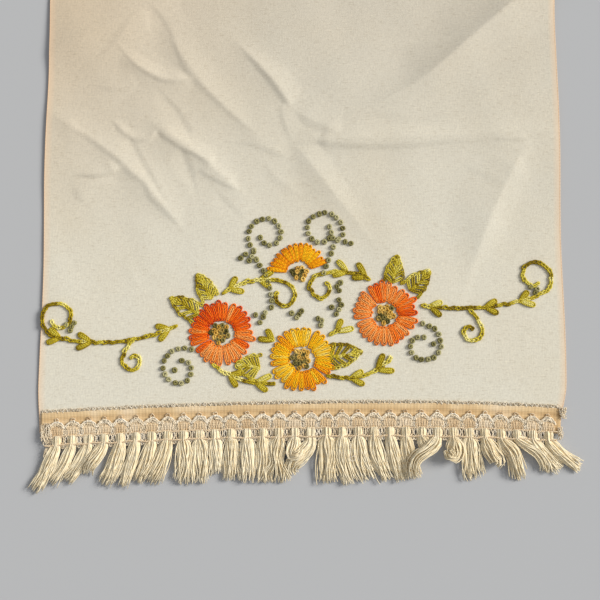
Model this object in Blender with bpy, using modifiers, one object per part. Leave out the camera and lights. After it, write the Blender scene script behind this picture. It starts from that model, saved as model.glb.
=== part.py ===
"""An embroidered table runner, laid flat: one length of cotton cloth, and at each end a woven gimp braid
that lies on the cloth's hem and a fringe of tied tassels, whose narrow heading runs along the cloth's edge.

Metres, +Z up. The origin is the middle of the cloth's underside, which rests on the table at z = 0. The
runner's length is along Y. The near end, with the bowed hem and the tousled tassels, faces -Y.
"""

import math
from collections import namedtuple

import bmesh
import bpy
from mathutils import Vector

# Cloth, with its rows close together in the creased stretch and further apart beyond
CLOTH_WIDTH = 0.330
CLOTH_LENGTH = 0.940
CLOTH_THICK = 0.001
COLUMNS = 33
CREASED_STRETCH = 0.320
CREASED_ROW = 0.010
PLAIN_ROW = 0.040
EDGE_WAVE = 0.0006
EDGE_WAVE_LENGTH = 0.145

# The near hem bows, and the trim draws its corners in
BOW_PEAK_X = 0.055
BOW_RISE = 0.0010
BOW_DROP_LEFT = 0.0065
BOW_DROP_RIGHT = 0.0035
BOW_FADE = 0.090
CORNER_FADE = 0.028
CORNER_IN_LEFT = 0.0015
CORNER_IN_RIGHT = 0.0040

# Folds: where the cloth starts to leave the table, and how far the trim keeps the hems flat
FOLD_FOOT = 0.00015
FLAT_HEM = 0.030
FLAT_HEM_FADE = 0.020

# Braid on the hem, and the fringe's heading beside the cloth's edge
GAP = 0.0003
TRIM_INSET = 0.0032
BRAID_WIDTH = 0.0150
BRAID_THICK = 0.0012
BRAID_UPPER_LINE = 0.0123
BRAID_LOWER_LINE = 0.0033
CORD_RISE = 0.0006
ZIGZAG = 0.0015
SCALLOP = 0.0016
HEADING_WIDTH = 0.0070
HEADING_THICK = 0.0024

# Tassels, each of a few locks of yarn
TASSELS = 32
TASSEL_PITCH = 0.00988
LOCKS = 3
LOCK_STEPS = 4
LOCK_ROOT = 0.0016
LOCK_GAP = 0.00045
LOCK_FULL = 0.5
LOCK_HEIGHT = 0.0028
LOCK_TIP_HEIGHT = 0.0016
LOCK_CROWN = 0.55
TASSEL_BEND = 0.28
FAR_REACH = 28.0
FAR_SPREAD = 8.2

Fold = namedtuple("Fold", "name x0 y0 x1 y1 height half_width")
FOLDS = (
    Fold("long diagonal ridge", 0.176, -0.170, 0.020, -0.282, 0.0065, 0.0150),
    Fold("cross ridge", 0.004, -0.291, 0.162, -0.285, 0.0022, 0.0110),
    Fold("ridge down from the cross", 0.006, -0.288, 0.050, -0.352, 0.0022, 0.0120),
    Fold("ridge near the right edge", 0.142, -0.298, 0.106, -0.368, 0.0016, 0.0130),
    Fold("long ridge on the left", -0.160, -0.276, -0.074, -0.348, 0.0030, 0.0110),
    Fold("short ridge on the left", -0.098, -0.276, -0.040, -0.322, 0.0028, 0.0100),
    Fold("upper ridge on the left", -0.112, -0.236, -0.062, -0.252, 0.0024, 0.0110),
    Fold("thin upper ridge", -0.078, -0.236, -0.008, -0.300, 0.0020, 0.0105),
    Fold("middle upper ridge", -0.046, -0.216, -0.008, -0.268, 0.0024, 0.0120),
    Fold("swell at the left edge", -0.170, -0.232, -0.088, -0.196, 0.0040, 0.0230),
)

# The near tassels, left to right, in millimetres: how far the tip lies to the side, how far it reaches out,
# how far the middle bows to the side, and how wide the tip spreads
Tassel = namedtuple("Tassel", "lean reach bow spread")
NEAR_TASSELS = (
    Tassel(-13.5, 29.5, -1.0, 7.0),
    Tassel(-13.0, 25.0, 0.0, 6.2),
    Tassel(-14.0, 23.5, 1.0, 6.2),
    Tassel(-9.5, 22.5, 1.5, 6.6),
    Tassel(-9.5, 27.5, 1.0, 7.0),
    Tassel(-8.0, 29.0, 0.0, 6.8),
    Tassel(-9.5, 26.5, 0.0, 6.8),
    Tassel(-10.0, 28.5, 0.5, 7.8),
    Tassel(-1.0, 29.0, 2.5, 8.6),
    Tassel(0.5, 29.0, 1.0, 9.4),
    Tassel(1.0, 23.0, 0.5, 7.6),
    Tassel(-1.0, 27.5, 0.5, 7.6),
    Tassel(0.5, 29.0, 0.5, 8.6),
    Tassel(0.0, 29.5, 0.0, 7.6),
    Tassel(-2.0, 30.0, 0.0, 8.0),
    Tassel(-3.5, 13.0, -0.5, 5.4),
    Tassel(-9.0, 25.5, 1.5, 8.0),
    Tassel(1.0, 30.5, -0.5, 9.4),
    Tassel(5.5, 31.0, -2.5, 8.8),
    Tassel(7.5, 28.5, -1.5, 8.4),
    Tassel(8.5, 29.0, -1.5, 7.8),
    Tassel(6.5, 29.5, 0.0, 7.0),
    Tassel(5.0, 28.0, 0.0, 7.2),
    Tassel(-0.5, 12.0, 0.0, 7.0),
    Tassel(-3.0, 11.5, -1.0, 7.6),
    Tassel(-2.5, 12.5, -1.0, 7.6),
    Tassel(3.5, 27.5, -1.0, 9.4),
    Tassel(6.5, 16.5, -1.0, 7.6),
    Tassel(11.5, 26.0, -1.5, 8.2),
    Tassel(17.0, 21.0, -0.5, 6.8),
    Tassel(17.5, 18.5, 0.5, 6.0),
    Tassel(20.0, 17.5, 1.0, 6.4),
)

End = namedtuple("End", "name turn bowed left right tassels")


def smooth(value):
    """0 below 0, 1 above 1, and an even S between."""
    value = min(max(value, 0.0), 1.0)
    return value * value * (3.0 - 2.0 * value)


def hem_bow(x):
    """How far the near hem lies inwards of a straight line, at x."""
    half = CLOTH_WIDTH / 2.0
    if x < BOW_PEAK_X:
        return BOW_RISE - BOW_DROP_LEFT * ((BOW_PEAK_X - x) / (half + BOW_PEAK_X)) ** 2
    return BOW_RISE - BOW_DROP_RIGHT * ((x - BOW_PEAK_X) / (half - BOW_PEAK_X)) ** 2


def on_table(across, along):
    """Where a point of the straight-cut cloth lies in plan, once the hem is bowed and the corners drawn in."""
    from_hem = along + CLOTH_LENGTH / 2.0
    side = across / (CLOTH_WIDTH / 2.0)
    corner_in = CORNER_IN_LEFT if across < 0 else CORNER_IN_RIGHT
    drawn_in = corner_in * (1.0 - smooth(from_hem / CORNER_FADE))
    wave = EDGE_WAVE * math.sin(math.tau * along / EDGE_WAVE_LENGTH + side)
    x = across + (wave - drawn_in * side) * abs(side)
    y = along + hem_bow(across) * math.exp(-from_hem / BOW_FADE)
    return x, y


def crest_height(fold, x, y):
    """One fold's height at x, y: a rounded ridge along its line, tapering to both ends."""
    start = Vector((fold.x0, fold.y0))
    run = Vector((fold.x1, fold.y1)) - start
    here = Vector((x, y)) - start
    share = here.dot(run) / run.length_squared
    aside = (here - run * share).length
    taper = smooth(0.5 + share / 0.3) * smooth(0.25 + (1.0 - share) / 0.45)
    return fold.height * taper * math.exp(-((aside / fold.half_width) ** 2))


def fold_height(x, y):
    """How high the folds lift the cloth off the table at x, y."""
    height = max(crest_height(fold, x, y) for fold in FOLDS)
    from_hem = CLOTH_LENGTH / 2.0 - abs(y)
    return max(height - FOLD_FOOT, 0.0) * smooth((from_hem - FLAT_HEM) / FLAT_HEM_FADE)


def material(name, colour, roughness):
    made = bpy.data.materials.new(name)
    made.use_nodes = True
    shader = made.node_tree.nodes["Principled BSDF"]
    shader.inputs["Base Color"].default_value = (*colour, 1.0)
    shader.inputs["Roughness"].default_value = roughness
    shader.inputs["Metallic"].default_value = 0.0
    return made


def add_object(name, shape, made_of, collection):
    """Turns a bmesh into a named object in the runner's collection."""
    mesh = bpy.data.meshes.new(name)
    shape.to_mesh(mesh)
    shape.free()
    mesh.materials.append(made_of)
    added = bpy.data.objects.new(name, mesh)
    collection.objects.link(added)
    return added


def evenly(start, length, spacing):
    """Places from start over a length, about a spacing apart. The far end of the length is left out."""
    count = round(length / spacing)
    return [start + length * step / count for step in range(count)]


def make_cloth(made_of, collection):
    """The runner's one length of cloth: its underside as an open grid facing up, thickened upwards."""
    hem = -CLOTH_LENGTH / 2.0
    rows = evenly(hem, CREASED_STRETCH, CREASED_ROW)
    rows += evenly(hem + CREASED_STRETCH, CLOTH_LENGTH - CREASED_STRETCH, PLAIN_ROW)
    rows.append(-hem)
    sheet = bmesh.new()
    bmesh.ops.create_grid(sheet, x_segments=COLUMNS, y_segments=len(rows) - 1, size=0.5)
    for point in sheet.verts:
        row = round((point.co.y + 0.5) * (len(rows) - 1))
        x, y = on_table(point.co.x * CLOTH_WIDTH, rows[row])
        point.co = (x, y, fold_height(x, y))
    cloth = add_object("cloth", sheet, made_of, collection)
    thick = cloth.modifiers.new("Solidify", "SOLIDIFY")
    thick.thickness = CLOTH_THICK
    thick.offset = 1.0


def hem_line(end, x):
    """How far the cloth's edge lies inwards of the end's straight line, at x."""
    return hem_bow(x) if end.bowed else 0.0


def set_at_end(end, piece):
    """Sets an end's piece against the cloth: the near end as modelled, the far end turned half round."""
    piece.location.y = CLOTH_LENGTH / 2.0 * -math.cos(end.turn)
    piece.rotation_euler.z = end.turn


def braid_section(at_scallop):
    """The braid's section, as pairs of how far inwards of the cloth's edge and how high."""
    under = CLOTH_THICK + GAP
    top = under + BRAID_THICK
    inner = BRAID_WIDTH + (SCALLOP if at_scallop else 0.0)
    crest = BRAID_WIDTH / 2.0 + (ZIGZAG if at_scallop else -ZIGZAG)
    return (
        (GAP, under),
        (inner, under),
        (inner, under + BRAID_THICK / 2.0),
        (BRAID_UPPER_LINE, top),
        (crest, top + CORD_RISE),
        (BRAID_LOWER_LINE, top),
        (GAP, top),
    )


def make_braid(end, made_of, collection):
    """A flat woven band on the hem, with a scalloped inner edge and a raised zigzag cord along its middle."""
    steps = 2 * TASSELS
    band = bmesh.new()
    sections = []
    for step in range(steps + 1):
        x = end.left + (end.right - end.left) * step / steps
        edge = hem_line(end, x)
        outline = braid_section(step % 2 == 1)
        sections.append([band.verts.new((x, edge + inwards, z)) for inwards, z in outline])
    sides = len(sections[0])
    for here, after in zip(sections, sections[1:]):
        for i in range(sides):
            j = (i + 1) % sides
            band.faces.new((here[i], here[j], after[j], after[i]))
    band.faces.new(sections[0])
    band.faces.new(sections[-1])
    bmesh.ops.recalc_face_normals(band, faces=band.faces)
    set_at_end(end, add_object("braid_" + end.name, band, made_of, collection))


def tassel_line(tassel, share):
    """A point of a tassel's curved middle line, from its root, and the direction across it there."""
    lean, reach, bow = tassel.lean / 1000.0, tassel.reach / 1000.0, tassel.bow / 1000.0
    bend = Vector((lean * TASSEL_BEND + bow, -reach / 2.0))
    tip = Vector((lean, -reach))
    point = 2.0 * share * (1.0 - share) * bend + share * share * tip
    along = (1.0 - share) * bend + share * (tip - bend)
    return point, Vector((-along.y, along.x)).normalized()


def lock_section(tassel, root, lock, share):
    """A lock's four corners at a share of its length, by (is right, is crown). It rests on the table."""
    point, across = tassel_line(tassel, share)
    pitch = LOCK_ROOT + (tassel.spread / 1000.0 / LOCKS - LOCK_ROOT) * smooth(share / LOCK_FULL)
    middle = root + point + across * pitch * (lock - (LOCKS - 1) / 2.0)
    foot = across * (pitch - LOCK_GAP) / 2.0
    crown = foot * LOCK_CROWN
    height = LOCK_HEIGHT + (LOCK_TIP_HEIGHT - LOCK_HEIGHT) * share
    return {
        (False, False): (*(middle - foot), 0.0),
        (True, False): (*(middle + foot), 0.0),
        (False, True): (*(middle - crown), height),
        (True, True): (*(middle + crown), height),
    }


def draw_lock(fringe, face, tassel, root, lock):
    """Draws a lock out of its root face on the heading, section by section."""
    middle = face.calc_center_median()
    corners = [(corner.co.x > middle.x, corner.co.z > middle.z) for corner in face.verts]
    for step in range(1, LOCK_STEPS + 1):
        section = lock_section(tassel, root, lock, step / LOCK_STEPS)
        face = bmesh.ops.extrude_discrete_faces(fringe, faces=[face])["faces"][0]
        for corner, which in zip(face.verts, corners):
            corner.co = section[which]


def root_places():
    """Each lock's tassel, its number in the tassel, and where its root face starts and ends along X."""
    first = -TASSEL_PITCH * (TASSELS - 1) / 2.0
    half = (LOCK_ROOT - LOCK_GAP) / 2.0
    for index in range(TASSELS):
        middle = first + TASSEL_PITCH * index
        for lock in range(LOCKS):
            x = middle + LOCK_ROOT * (lock - (LOCKS - 1) / 2.0)
            yield index, lock, middle, x - half, x + half


def make_fringe(end, made_of, collection):
    """The heading, a narrow strip beside the cloth's edge, with the tassels' locks drawn out of its front."""
    fringe = bmesh.new()
    roots = list(root_places())
    front = [end.left] + [x for root in roots for x in root[3:]] + [end.right]
    back = [end.right + (end.left - end.right) * step / TASSELS for step in range(TASSELS + 1)]
    foot = [fringe.verts.new((x, hem_line(end, x) - HEADING_WIDTH, 0.0)) for x in front]
    foot += [fringe.verts.new((x, hem_line(end, x) - GAP, 0.0)) for x in back]
    strip = bmesh.ops.extrude_face_region(fringe, geom=[fringe.faces.new(foot)])
    bmesh.ops.translate(
        fringe,
        verts=[item for item in strip["geom"] if isinstance(item, bmesh.types.BMVert)],
        vec=(0.0, 0.0, HEADING_THICK),
    )
    for count, (index, lock, middle, _, _) in enumerate(roots):
        edge = fringe.edges.get(foot[2 * count + 1 : 2 * count + 3])
        face = next(face for face in edge.link_faces if len(face.verts) == 4)
        root = Vector((middle, hem_line(end, middle) - HEADING_WIDTH))
        draw_lock(fringe, face, end.tassels[index], root, lock)
    bmesh.ops.recalc_face_normals(fringe, faces=fringe.faces)
    set_at_end(end, add_object("fringe_" + end.name, fringe, made_of, collection))


def far_tassels():
    """The far fringe lies plainly: nearly straight tassels, no two quite alike."""
    return tuple(
        Tassel(
            0.5 * math.sin(1.7 * index),
            FAR_REACH + 1.4 * math.sin(2.3 * index + 1.0),
            0.5 * math.sin(0.9 * index),
            FAR_SPREAD,
        )
        for index in range(TASSELS)
    )


def main():
    for old in list(bpy.data.objects):
        bpy.data.objects.remove(old)
    runner = bpy.data.collections.new("embroidered_table_runner")
    bpy.context.scene.collection.children.link(runner)
    cotton = material("ivory cotton", (0.76, 0.70, 0.58), 0.92)
    gimp = material("tan gimp", (0.60, 0.46, 0.30), 0.85)
    yarn = material("cream tassel yarn", (0.74, 0.64, 0.46), 0.88)
    left = TRIM_INSET - CLOTH_WIDTH / 2.0
    near = End("near", 0.0, True, left, -left - CORNER_IN_RIGHT, NEAR_TASSELS)
    far = End("far", math.pi, False, left, -left, far_tassels())
    make_cloth(cotton, runner)
    for end in (near, far):
        make_braid(end, gimp, runner)
        make_fringe(end, yarn, runner)


main()
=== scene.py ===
# %% [markdown]
# # An embroidered table runner
#
# The real thing is one length of ivory cotton. Its near end is worked with flowers in stranded cotton,
# and each end has a woven gimp braid and a fringe of tied tassels. It lies on a table, a little creased.
# This lesson dresses the plain solids of the runner: cloth first, then stitches, braid and tassels.
# Work sizes are in millimetres, because that is how a needleworker thinks. Meshes are made in metres.

# %% Load the solids
import math
from collections import namedtuple

import bpy
import numpy as np
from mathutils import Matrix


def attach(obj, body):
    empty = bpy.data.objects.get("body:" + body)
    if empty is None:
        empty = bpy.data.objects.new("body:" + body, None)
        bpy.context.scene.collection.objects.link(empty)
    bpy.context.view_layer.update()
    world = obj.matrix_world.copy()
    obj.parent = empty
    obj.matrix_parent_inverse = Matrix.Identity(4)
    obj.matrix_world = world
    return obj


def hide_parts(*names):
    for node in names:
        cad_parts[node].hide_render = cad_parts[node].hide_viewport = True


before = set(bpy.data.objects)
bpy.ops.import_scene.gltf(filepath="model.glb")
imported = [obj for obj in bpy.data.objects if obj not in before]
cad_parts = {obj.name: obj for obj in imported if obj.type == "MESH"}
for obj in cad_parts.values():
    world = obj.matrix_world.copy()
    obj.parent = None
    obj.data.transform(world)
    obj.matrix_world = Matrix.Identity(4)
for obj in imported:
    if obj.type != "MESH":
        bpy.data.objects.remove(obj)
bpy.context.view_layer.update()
MM = 0.001
BODY = "root"
print("solids:", sorted(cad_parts))

# %% [markdown]
# ## Table, camera and light
#
# The floor is a plain pale sheet that isn't part of the object. The camera looks almost straight down,
# from above the embroidered end. Creases only show where light rakes across them, so the sun is low and
# comes from the right. It is a wide sun, which softens the shadows, and a pale sky fills them.

# %% Floor
FLOOR_SIZE = 6.0
FLOOR_DROP = -0.0003
FLOOR_COLOUR = (0.46, 0.468, 0.475)

bpy.ops.mesh.primitive_plane_add(size=FLOOR_SIZE, location=(0.0, 0.0, FLOOR_DROP))
floor = bpy.context.object
floor.name = "floor"
floor_paint = bpy.data.materials.new("pale floor")
floor_paint.use_nodes = True
floor_shader = floor_paint.node_tree.nodes["Principled BSDF"]
floor_shader.inputs["Base Color"].default_value = (*FLOOR_COLOUR, 1.0)
floor_shader.inputs["Roughness"].default_value = 0.9
floor.data.materials.append(floor_paint)
print("floor at", FLOOR_DROP)

# %% Camera
CAMERA_PLACE = (-0.0016, -0.4485, 0.568)
CAMERA_TILT = 5.7
CAMERA_LENS = 54.0
CAMERA_SENSOR = 36.0

camera_data = bpy.data.cameras.new("camera")
camera_data.lens = CAMERA_LENS
camera_data.sensor_width = CAMERA_SENSOR
camera = bpy.data.objects.new("camera", camera_data)
camera.location = CAMERA_PLACE
camera.rotation_euler = (math.radians(CAMERA_TILT), 0.0, 0.0)
bpy.context.scene.collection.objects.link(camera)
bpy.context.scene.camera = camera
print("camera height", camera.location.z)

# %% Lights
SUN_TURN = 18.0
SUN_HEIGHT = 29.5
SUN_WIDTH = 26.0
SUN_STRENGTH = 3.9
SUN_COLOUR = (1.0, 0.975, 0.94)
SKY_COLOUR = (0.95, 0.965, 1.0)
SKY_STRENGTH = 0.43

sun_data = bpy.data.lights.new("sun", "SUN")
sun_data.energy = SUN_STRENGTH
sun_data.angle = math.radians(SUN_WIDTH)
sun_data.color = SUN_COLOUR
sun = bpy.data.objects.new("sun", sun_data)
sun.rotation_euler = (0.0, math.radians(90.0 - SUN_HEIGHT), math.radians(SUN_TURN))
bpy.context.scene.collection.objects.link(sun)

sky = bpy.data.worlds.new("sky")
sky.use_nodes = True
sky.node_tree.nodes["Background"].inputs["Color"].default_value = (*SKY_COLOUR, 1.0)
sky.node_tree.nodes["Background"].inputs["Strength"].default_value = SKY_STRENGTH
bpy.context.scene.world = sky
bpy.context.scene.view_settings.view_transform = "Standard"
print("sun height, degrees:", SUN_HEIGHT)

# %% [markdown]
# ## How the cloth lies
#
# The runner is cut straight, but it doesn't lie straight: the hem bows and the trim draws the corners in.
# Its folds are of two kinds. Broad soft ridges come from the way that it was put down, and the solids
# have them too. Fine creases are left from folding and washing. Both are short rows of listed
# points: a height, how far the flanks reach on the left and right, how fast the ends taper, and a line.
# A sheet that is sharper on one side of a crease than on the other looks like cotton, not like rubber.

# %% Sizes of the cloth
CLOTH_WIDTH = 330.0
CLOTH_LENGTH = 940.0
CLOTH_THICK = 0.8
HALF_WIDTH = CLOTH_WIDTH / 2.0
HALF_LENGTH = CLOTH_LENGTH / 2.0
EDGE_WAVE = 0.6
EDGE_WAVE_LENGTH = 145.0
BOW_PEAK_X = 55.0
BOW_RISE = 1.0
BOW_DROP_LEFT = 6.5
BOW_DROP_RIGHT = 3.5
BOW_FADE = 90.0
CORNER_FADE = 28.0
CORNER_IN_LEFT = 1.5
CORNER_IN_RIGHT = 4.0


def ease(value):
    """0 below 0, 1 above 1, and an even S between."""
    value = np.clip(value, 0.0, 1.0)
    return value * value * (3.0 - 2.0 * value)


def hem_bow(x):
    """How far the near hem lies inwards of a straight line, at x."""
    left = BOW_DROP_LEFT * ((BOW_PEAK_X - x) / (HALF_WIDTH + BOW_PEAK_X)) ** 2
    right = BOW_DROP_RIGHT * ((x - BOW_PEAK_X) / (HALF_WIDTH - BOW_PEAK_X)) ** 2
    return BOW_RISE - np.where(x < BOW_PEAK_X, left, right)


def on_table(across, along):
    """Where points of the straight-cut cloth lie in plan."""
    from_hem = along + HALF_LENGTH
    side = across / HALF_WIDTH
    corner_in = np.where(across < 0, CORNER_IN_LEFT, CORNER_IN_RIGHT)
    drawn_in = corner_in * (1.0 - ease(from_hem / CORNER_FADE))
    wave = EDGE_WAVE * np.sin(math.tau * along / EDGE_WAVE_LENGTH + side)
    x = across + (wave - drawn_in * side) * np.abs(side)
    y = along + hem_bow(across) * np.exp(-from_hem / BOW_FADE)
    return x, y


print("cloth", CLOTH_WIDTH, "by", CLOTH_LENGTH, "mm")

# %% Smooth lines
SMOOTH_STEPS = 12


def unit(vectors):
    """Vectors of length 1."""
    return vectors / np.maximum(np.linalg.norm(vectors, axis=-1, keepdims=True), 1e-9)


def run_along(line):
    """How far along a line each of its points is."""
    return np.concatenate([[0.0], np.linalg.norm(np.diff(line, axis=0), axis=1).cumsum()])


def through(points, steps=SMOOTH_STEPS):
    """A smooth, finely stepped curve through a few points."""
    points = np.array(points, float)
    held = np.vstack([2 * points[0] - points[1], points, 2 * points[-1] - points[-2]])
    share = np.linspace(0.0, 1.0, steps, endpoint=False)[:, None]
    parts = []
    for a, b, c, d in zip(held, held[1:], held[2:], held[3:]):
        bend = (2 * a - 5 * b + 4 * c - d) * share**2 + (3 * b - a - 3 * c + d) * share**3
        parts.append(b + ((c - a) * share + bend) / 2.0)
    return np.vstack(parts + [points[-1:]])


print("a smooth line takes", SMOOTH_STEPS, "steps between points")

# %% Broad folds
Fold = namedtuple("Fold", "name height left right grow fade line")
BROAD_FOLDS = (
    Fold(
        "long diagonal", 6.0, 32, 34, 0.05, 0.6,
        ((200, -150), (156, -181), (116, -215), (70, -253), (14, -278)),
    ),
    Fold("cross ridge", 1.2, 18, 18, 0.3, 0.3, ((-10, -289), (80, -286), (172, -281))),
    Fold("down from the cross", 1.0, 18, 18, 0.4, 0.5, ((-10, -284), (14, -315), (52, -364))),
    Fold("near the right edge", 0.95, 20, 30, 0.3, 0.4, ((150, -280), (126, -325), (100, -392))),
    Fold("long one on the left", 1.2, 18, 18, 0.3, 0.4, ((-172, -264), (-112, -306), (-72, -352))),
    Fold("short one on the left", 1.3, 16, 16, 0.4, 0.4, ((-104, -272), (-70, -296), (-34, -328))),
    Fold("upper one on the left", 1.2, 16, 16, 0.4, 0.4, ((-130, -224), (-92, -248), (-54, -246))),
    Fold("thin upper one", 0.9, 18, 18, 0.4, 0.4, ((-100, -200), (-62, -254), (-20, -294))),
    Fold("middle upper one", 1.0, 18, 18, 0.4, 0.4, ((-50, -216), (-24, -243), (-4, -272))),
    Fold("swell at the left edge", 2.6, 40, 34, 0.4, 0.5, ((-186, -240), (-130, -214), (-70, -186))),
)
print(len(BROAD_FOLDS), "broad folds")

# %% Fine creases
CREASES = (
    Fold(
        "left line", 0.42, 14, 2.8, 0.2, 0.25,
        ((-103, -195), (-92, -204), (-84, -218), (-74, -242), (-47, -269), (-28, -286)),
    ),
    Fold(
        "upper left line", 0.47, 19, 4.2, 0.2, 0.4,
        ((-98, -203), (-111, -209), (-123, -226), (-146, -248)),
    ),
    Fold(
        "upper curve", 0.6, 7, 2.1, 0.3, 0.2,
        ((-124, -221), (-111, -235), (-97, -245), (-86, -249), (-67, -247)),
    ),
    Fold("fan, upper line", -0.42, 7, 22, 0.2, 0.4, ((-152, -284), (-127, -270), (-104, -255))),
    Fold("fan, dark band", 0.42, 12, 3.1, 0.4, 0.3, ((-137, -252), (-119, -254), (-103, -251))),
    Fold(
        "fan, lower line", -0.38, 3.1, 15, 0.3, 0.15,
        ((-152, -281), (-137, -290), (-127, -298), (-115, -307)),
    ),
    Fold("dark nick", 1.2, 8, 2, 0.5, 0.25, ((-152, -311), (-131, -311), (-115, -306))),
    Fold(
        "ridge at its end", 0.52, 16, 3.5, 0.12, 0.3,
        ((-118, -305), (-101, -315), (-96, -325), (-85, -336), (-76, -347)),
    ),
    Fold("slanting line", -0.42, 2.8, 9, 0.15, 0.4, ((-113, -285), (-106, -299), (-96, -316), (-81, -338))),
    Fold(
        "hook", 0.58, 4, 2.4, 0.2, 0.2,
        ((-124, -273), (-115, -283), (-108, -287), (-99, -287), (-93, -280)),
    ),
    Fold(
        "sharp crease", 0.62, 9, 2, 0.15, 0.2,
        ((-95, -281), (-84, -289), (-76, -294), (-64, -300), (-55, -306)),
    ),
    Fold("its tail", 0.49, 8, 2, 0.25, 0.3, ((-68, -307), (-55, -314), (-39, -322))),
    Fold("dark stroke", -0.42, 3.1, 11, 0.6, 0.1, ((-97, -249), (-90, -261), (-82, -270), (-71, -288))),
    Fold("short slant", 0.21, 7, 1.3, 0.3, 0.3, ((-46, -265), (-58, -269), (-66, -275))),
    Fold("falling streak", -0.47, 3.8, 9, 0.15, 0.7, ((-79, -293), (-74, -307), (-70, -317), (-66, -333))),
    Fold("faint streak", -0.29, 3.1, 9, 0.3, 0.4, ((-58, -321), (-47, -333), (-35, -341))),
    Fold("left edge fall", -0.6, 2.1, 8, 0.2, 0.3, ((-143, -328), (-136, -340), (-131, -353))),
    Fold("left edge rise", 0.48, 12, 4.9, 0.2, 0.4, ((-147, -328), (-132, -319), (-114, -318))),
    Fold("centre crease", 0.85, 12, 3.8, 0.7, 0.1, ((-43, -224), (-33, -234), (-18, -250), (-7, -266))),
    Fold("centre, lower end", 0.36, 11, 2.8, 0.3, 0.4, ((-14, -263), (-11, -277), (-6, -290))),
    Fold("smudge", 0.75, 16, 5.6, 0.3, 0.3, ((-8, -267), (6, -275), (16, -279), (26, -285))),
    Fold("smile", 0.31, 4, 1.4, 0.3, 0.3, ((-6, -289), (4, -289.5), (14, -282))),
    Fold(
        "cross crease", 0.85, 12, 3.5, 0.1, 0.4,
        ((6, -289), (32, -291), (63, -291), (88, -289), (150, -287)),
    ),
    Fold("cross, right nick", 0.35, 4, 1.4, 0.3, 0.3, ((120, -287), (134, -287.5), (150, -287))),
    Fold("down from the cross", -0.20, 4.2, 17, 0.1, 0.5, ((9, -290), (16, -299), (24, -310), (48, -345))),
    Fold("cross, left part", 0.47, 14, 3.1, 0.6, 0.2, ((-58, -288), (-37, -290), (-26, -292), (-7, -301))),
    Fold("low smudge", 0.26, 11, 4.2, 0.3, 0.4, ((-26, -303), (-14, -315), (2, -327))),
    Fold(
        "foot of the long ridge", 0.47, 12, 6.3, 0.3, 0.3,
        ((44, -272), (76, -271), (108, -266), (142, -246)),
    ),
    Fold("right edge line", 0.62, 12.6, 26, 0.15, 0.4, ((140, -298), (128, -321), (116, -347), (98, -400))),
    Fold("low right line", 0.21, 11, 3.5, 0.3, 0.4, ((100, -302), (117, -310), (134, -320))),
    Fold(
        "branch of the long ridge", 0.47, 16, 7, 0.3, 0.4,
        ((112, -219), (76, -225), (45, -229), (11, -245), (-16, -247)),
    ),
    Fold("hem ripple one", 0.16, 5, 5, 0.4, 0.4, ((114, -388), (110, -410), (107, -438))),
    Fold("hem ripple two", 0.17, 5, 5, 0.4, 0.4, ((128, -382), (125, -405), (127, -438))),
    Fold("hem ripple three", 0.14, 2.8, 5, 0.4, 0.4, ((143, -394), (141, -415), (143, -440))),
    Fold("hem ripple four", 0.11, 5, 2.8, 0.4, 0.4, ((-98, -412), (-92, -428), (-86, -442))),
    Fold("hem ripple five", 0.15, 4.2, 8, 0.4, 0.4, ((-114, -356), (-106, -380), (-97, -404))),
)
print(len(CREASES), "fine creases")

# %% Height of one fold
CREST_ROUNDING = 0.5
BROAD_POWER = 2.0
SHARP_POWER = 1.15
BROAD_NARROWEST = 0.4
SHARP_NARROWEST = 0.05


def beside_curve(curve, x, y):
    """For each point: its share along the curve, and how far it lies to the left of it."""
    nearest = np.full(x.shape, np.inf)
    share = np.zeros(x.shape)
    left = np.zeros(x.shape)
    for step in range(len(curve) - 1):
        (x0, y0), (x1, y1) = curve[step], curve[step + 1]
        run_x, run_y = x1 - x0, y1 - y0
        along = ((x - x0) * run_x + (y - y0) * run_y) / (run_x**2 + run_y**2)
        held = np.clip(along, 0.0, 1.0)
        gap_x = x - x0 - held * run_x
        gap_y = y - y0 - held * run_y
        gap = np.hypot(gap_x, gap_y)
        closer = gap < nearest
        nearest = np.where(closer, gap, nearest)
        share = np.where(closer, (step + held) / (len(curve) - 1), share)
        left = np.where(closer, np.sign(run_x * gap_y - run_y * gap_x) * gap, left)
    return share, left


def fold_height(fold, x, y, narrowest, power):
    """One fold's height: a crest along its line, with a flank on each side. Its ends taper."""
    share, left = beside_curve(through(fold.line, 5), x, y)
    taper = ease(share / fold.grow) * ease((1.0 - share) / fold.fade)
    reach = np.where(left > 0.0, fold.left, fold.right) * (narrowest + (1.0 - narrowest) * taper)
    fall = (np.hypot(left, CREST_ROUNDING) - CREST_ROUNDING) / reach
    return fold.height * taper * np.maximum(1.0 - fall, 0.0) ** power


print("crests are rounded by", CREST_ROUNDING, "mm")

# %% [markdown]
# ## A map of heights
#
# Stitches, knots and braid all rest on the same creased cloth, so its height is worked out once, on an
# even grid, and read from there. Low swells lift the creased stretch a little, because a crease can only
# dip where there is air below. The trim holds the hem flat.

# %% Height map
MAP_STEP = 0.8
MAP_X = np.arange(-176.0, 176.1, MAP_STEP)
MAP_Y = np.arange(-480.0, -139.9, MAP_STEP)
FLAT_HEM = 30.0
FLAT_HEM_FADE = 24.0
PLAIN_FROM = -150.0
PLAIN_FADE = 30.0
AIR_BELOW = 0.75
AIR_MIDDLE = -272.0
AIR_SPREAD = 62.0
Swell = namedtuple("Swell", "height along_x along_y shift")
SWELLS = (
    Swell(0.16, 0.051, 0.023, 0.3),
    Swell(0.14, -0.034, 0.061, 1.9),
    Swell(0.10, 0.083, 0.072, 4.1),
    Swell(0.07, -0.121, 0.038, 2.7),
    Swell(0.05, 0.047, -0.172, 5.2),
    Swell(0.05, 0.203, 0.066, 0.9),
)


def swell_height(x, y):
    """Low, uneven swells over the whole of the creased stretch."""
    total = np.zeros(x.shape)
    for row in SWELLS:
        total += row.height * np.sin(row.along_x * x + row.along_y * y + row.shift)
    return total


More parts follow.
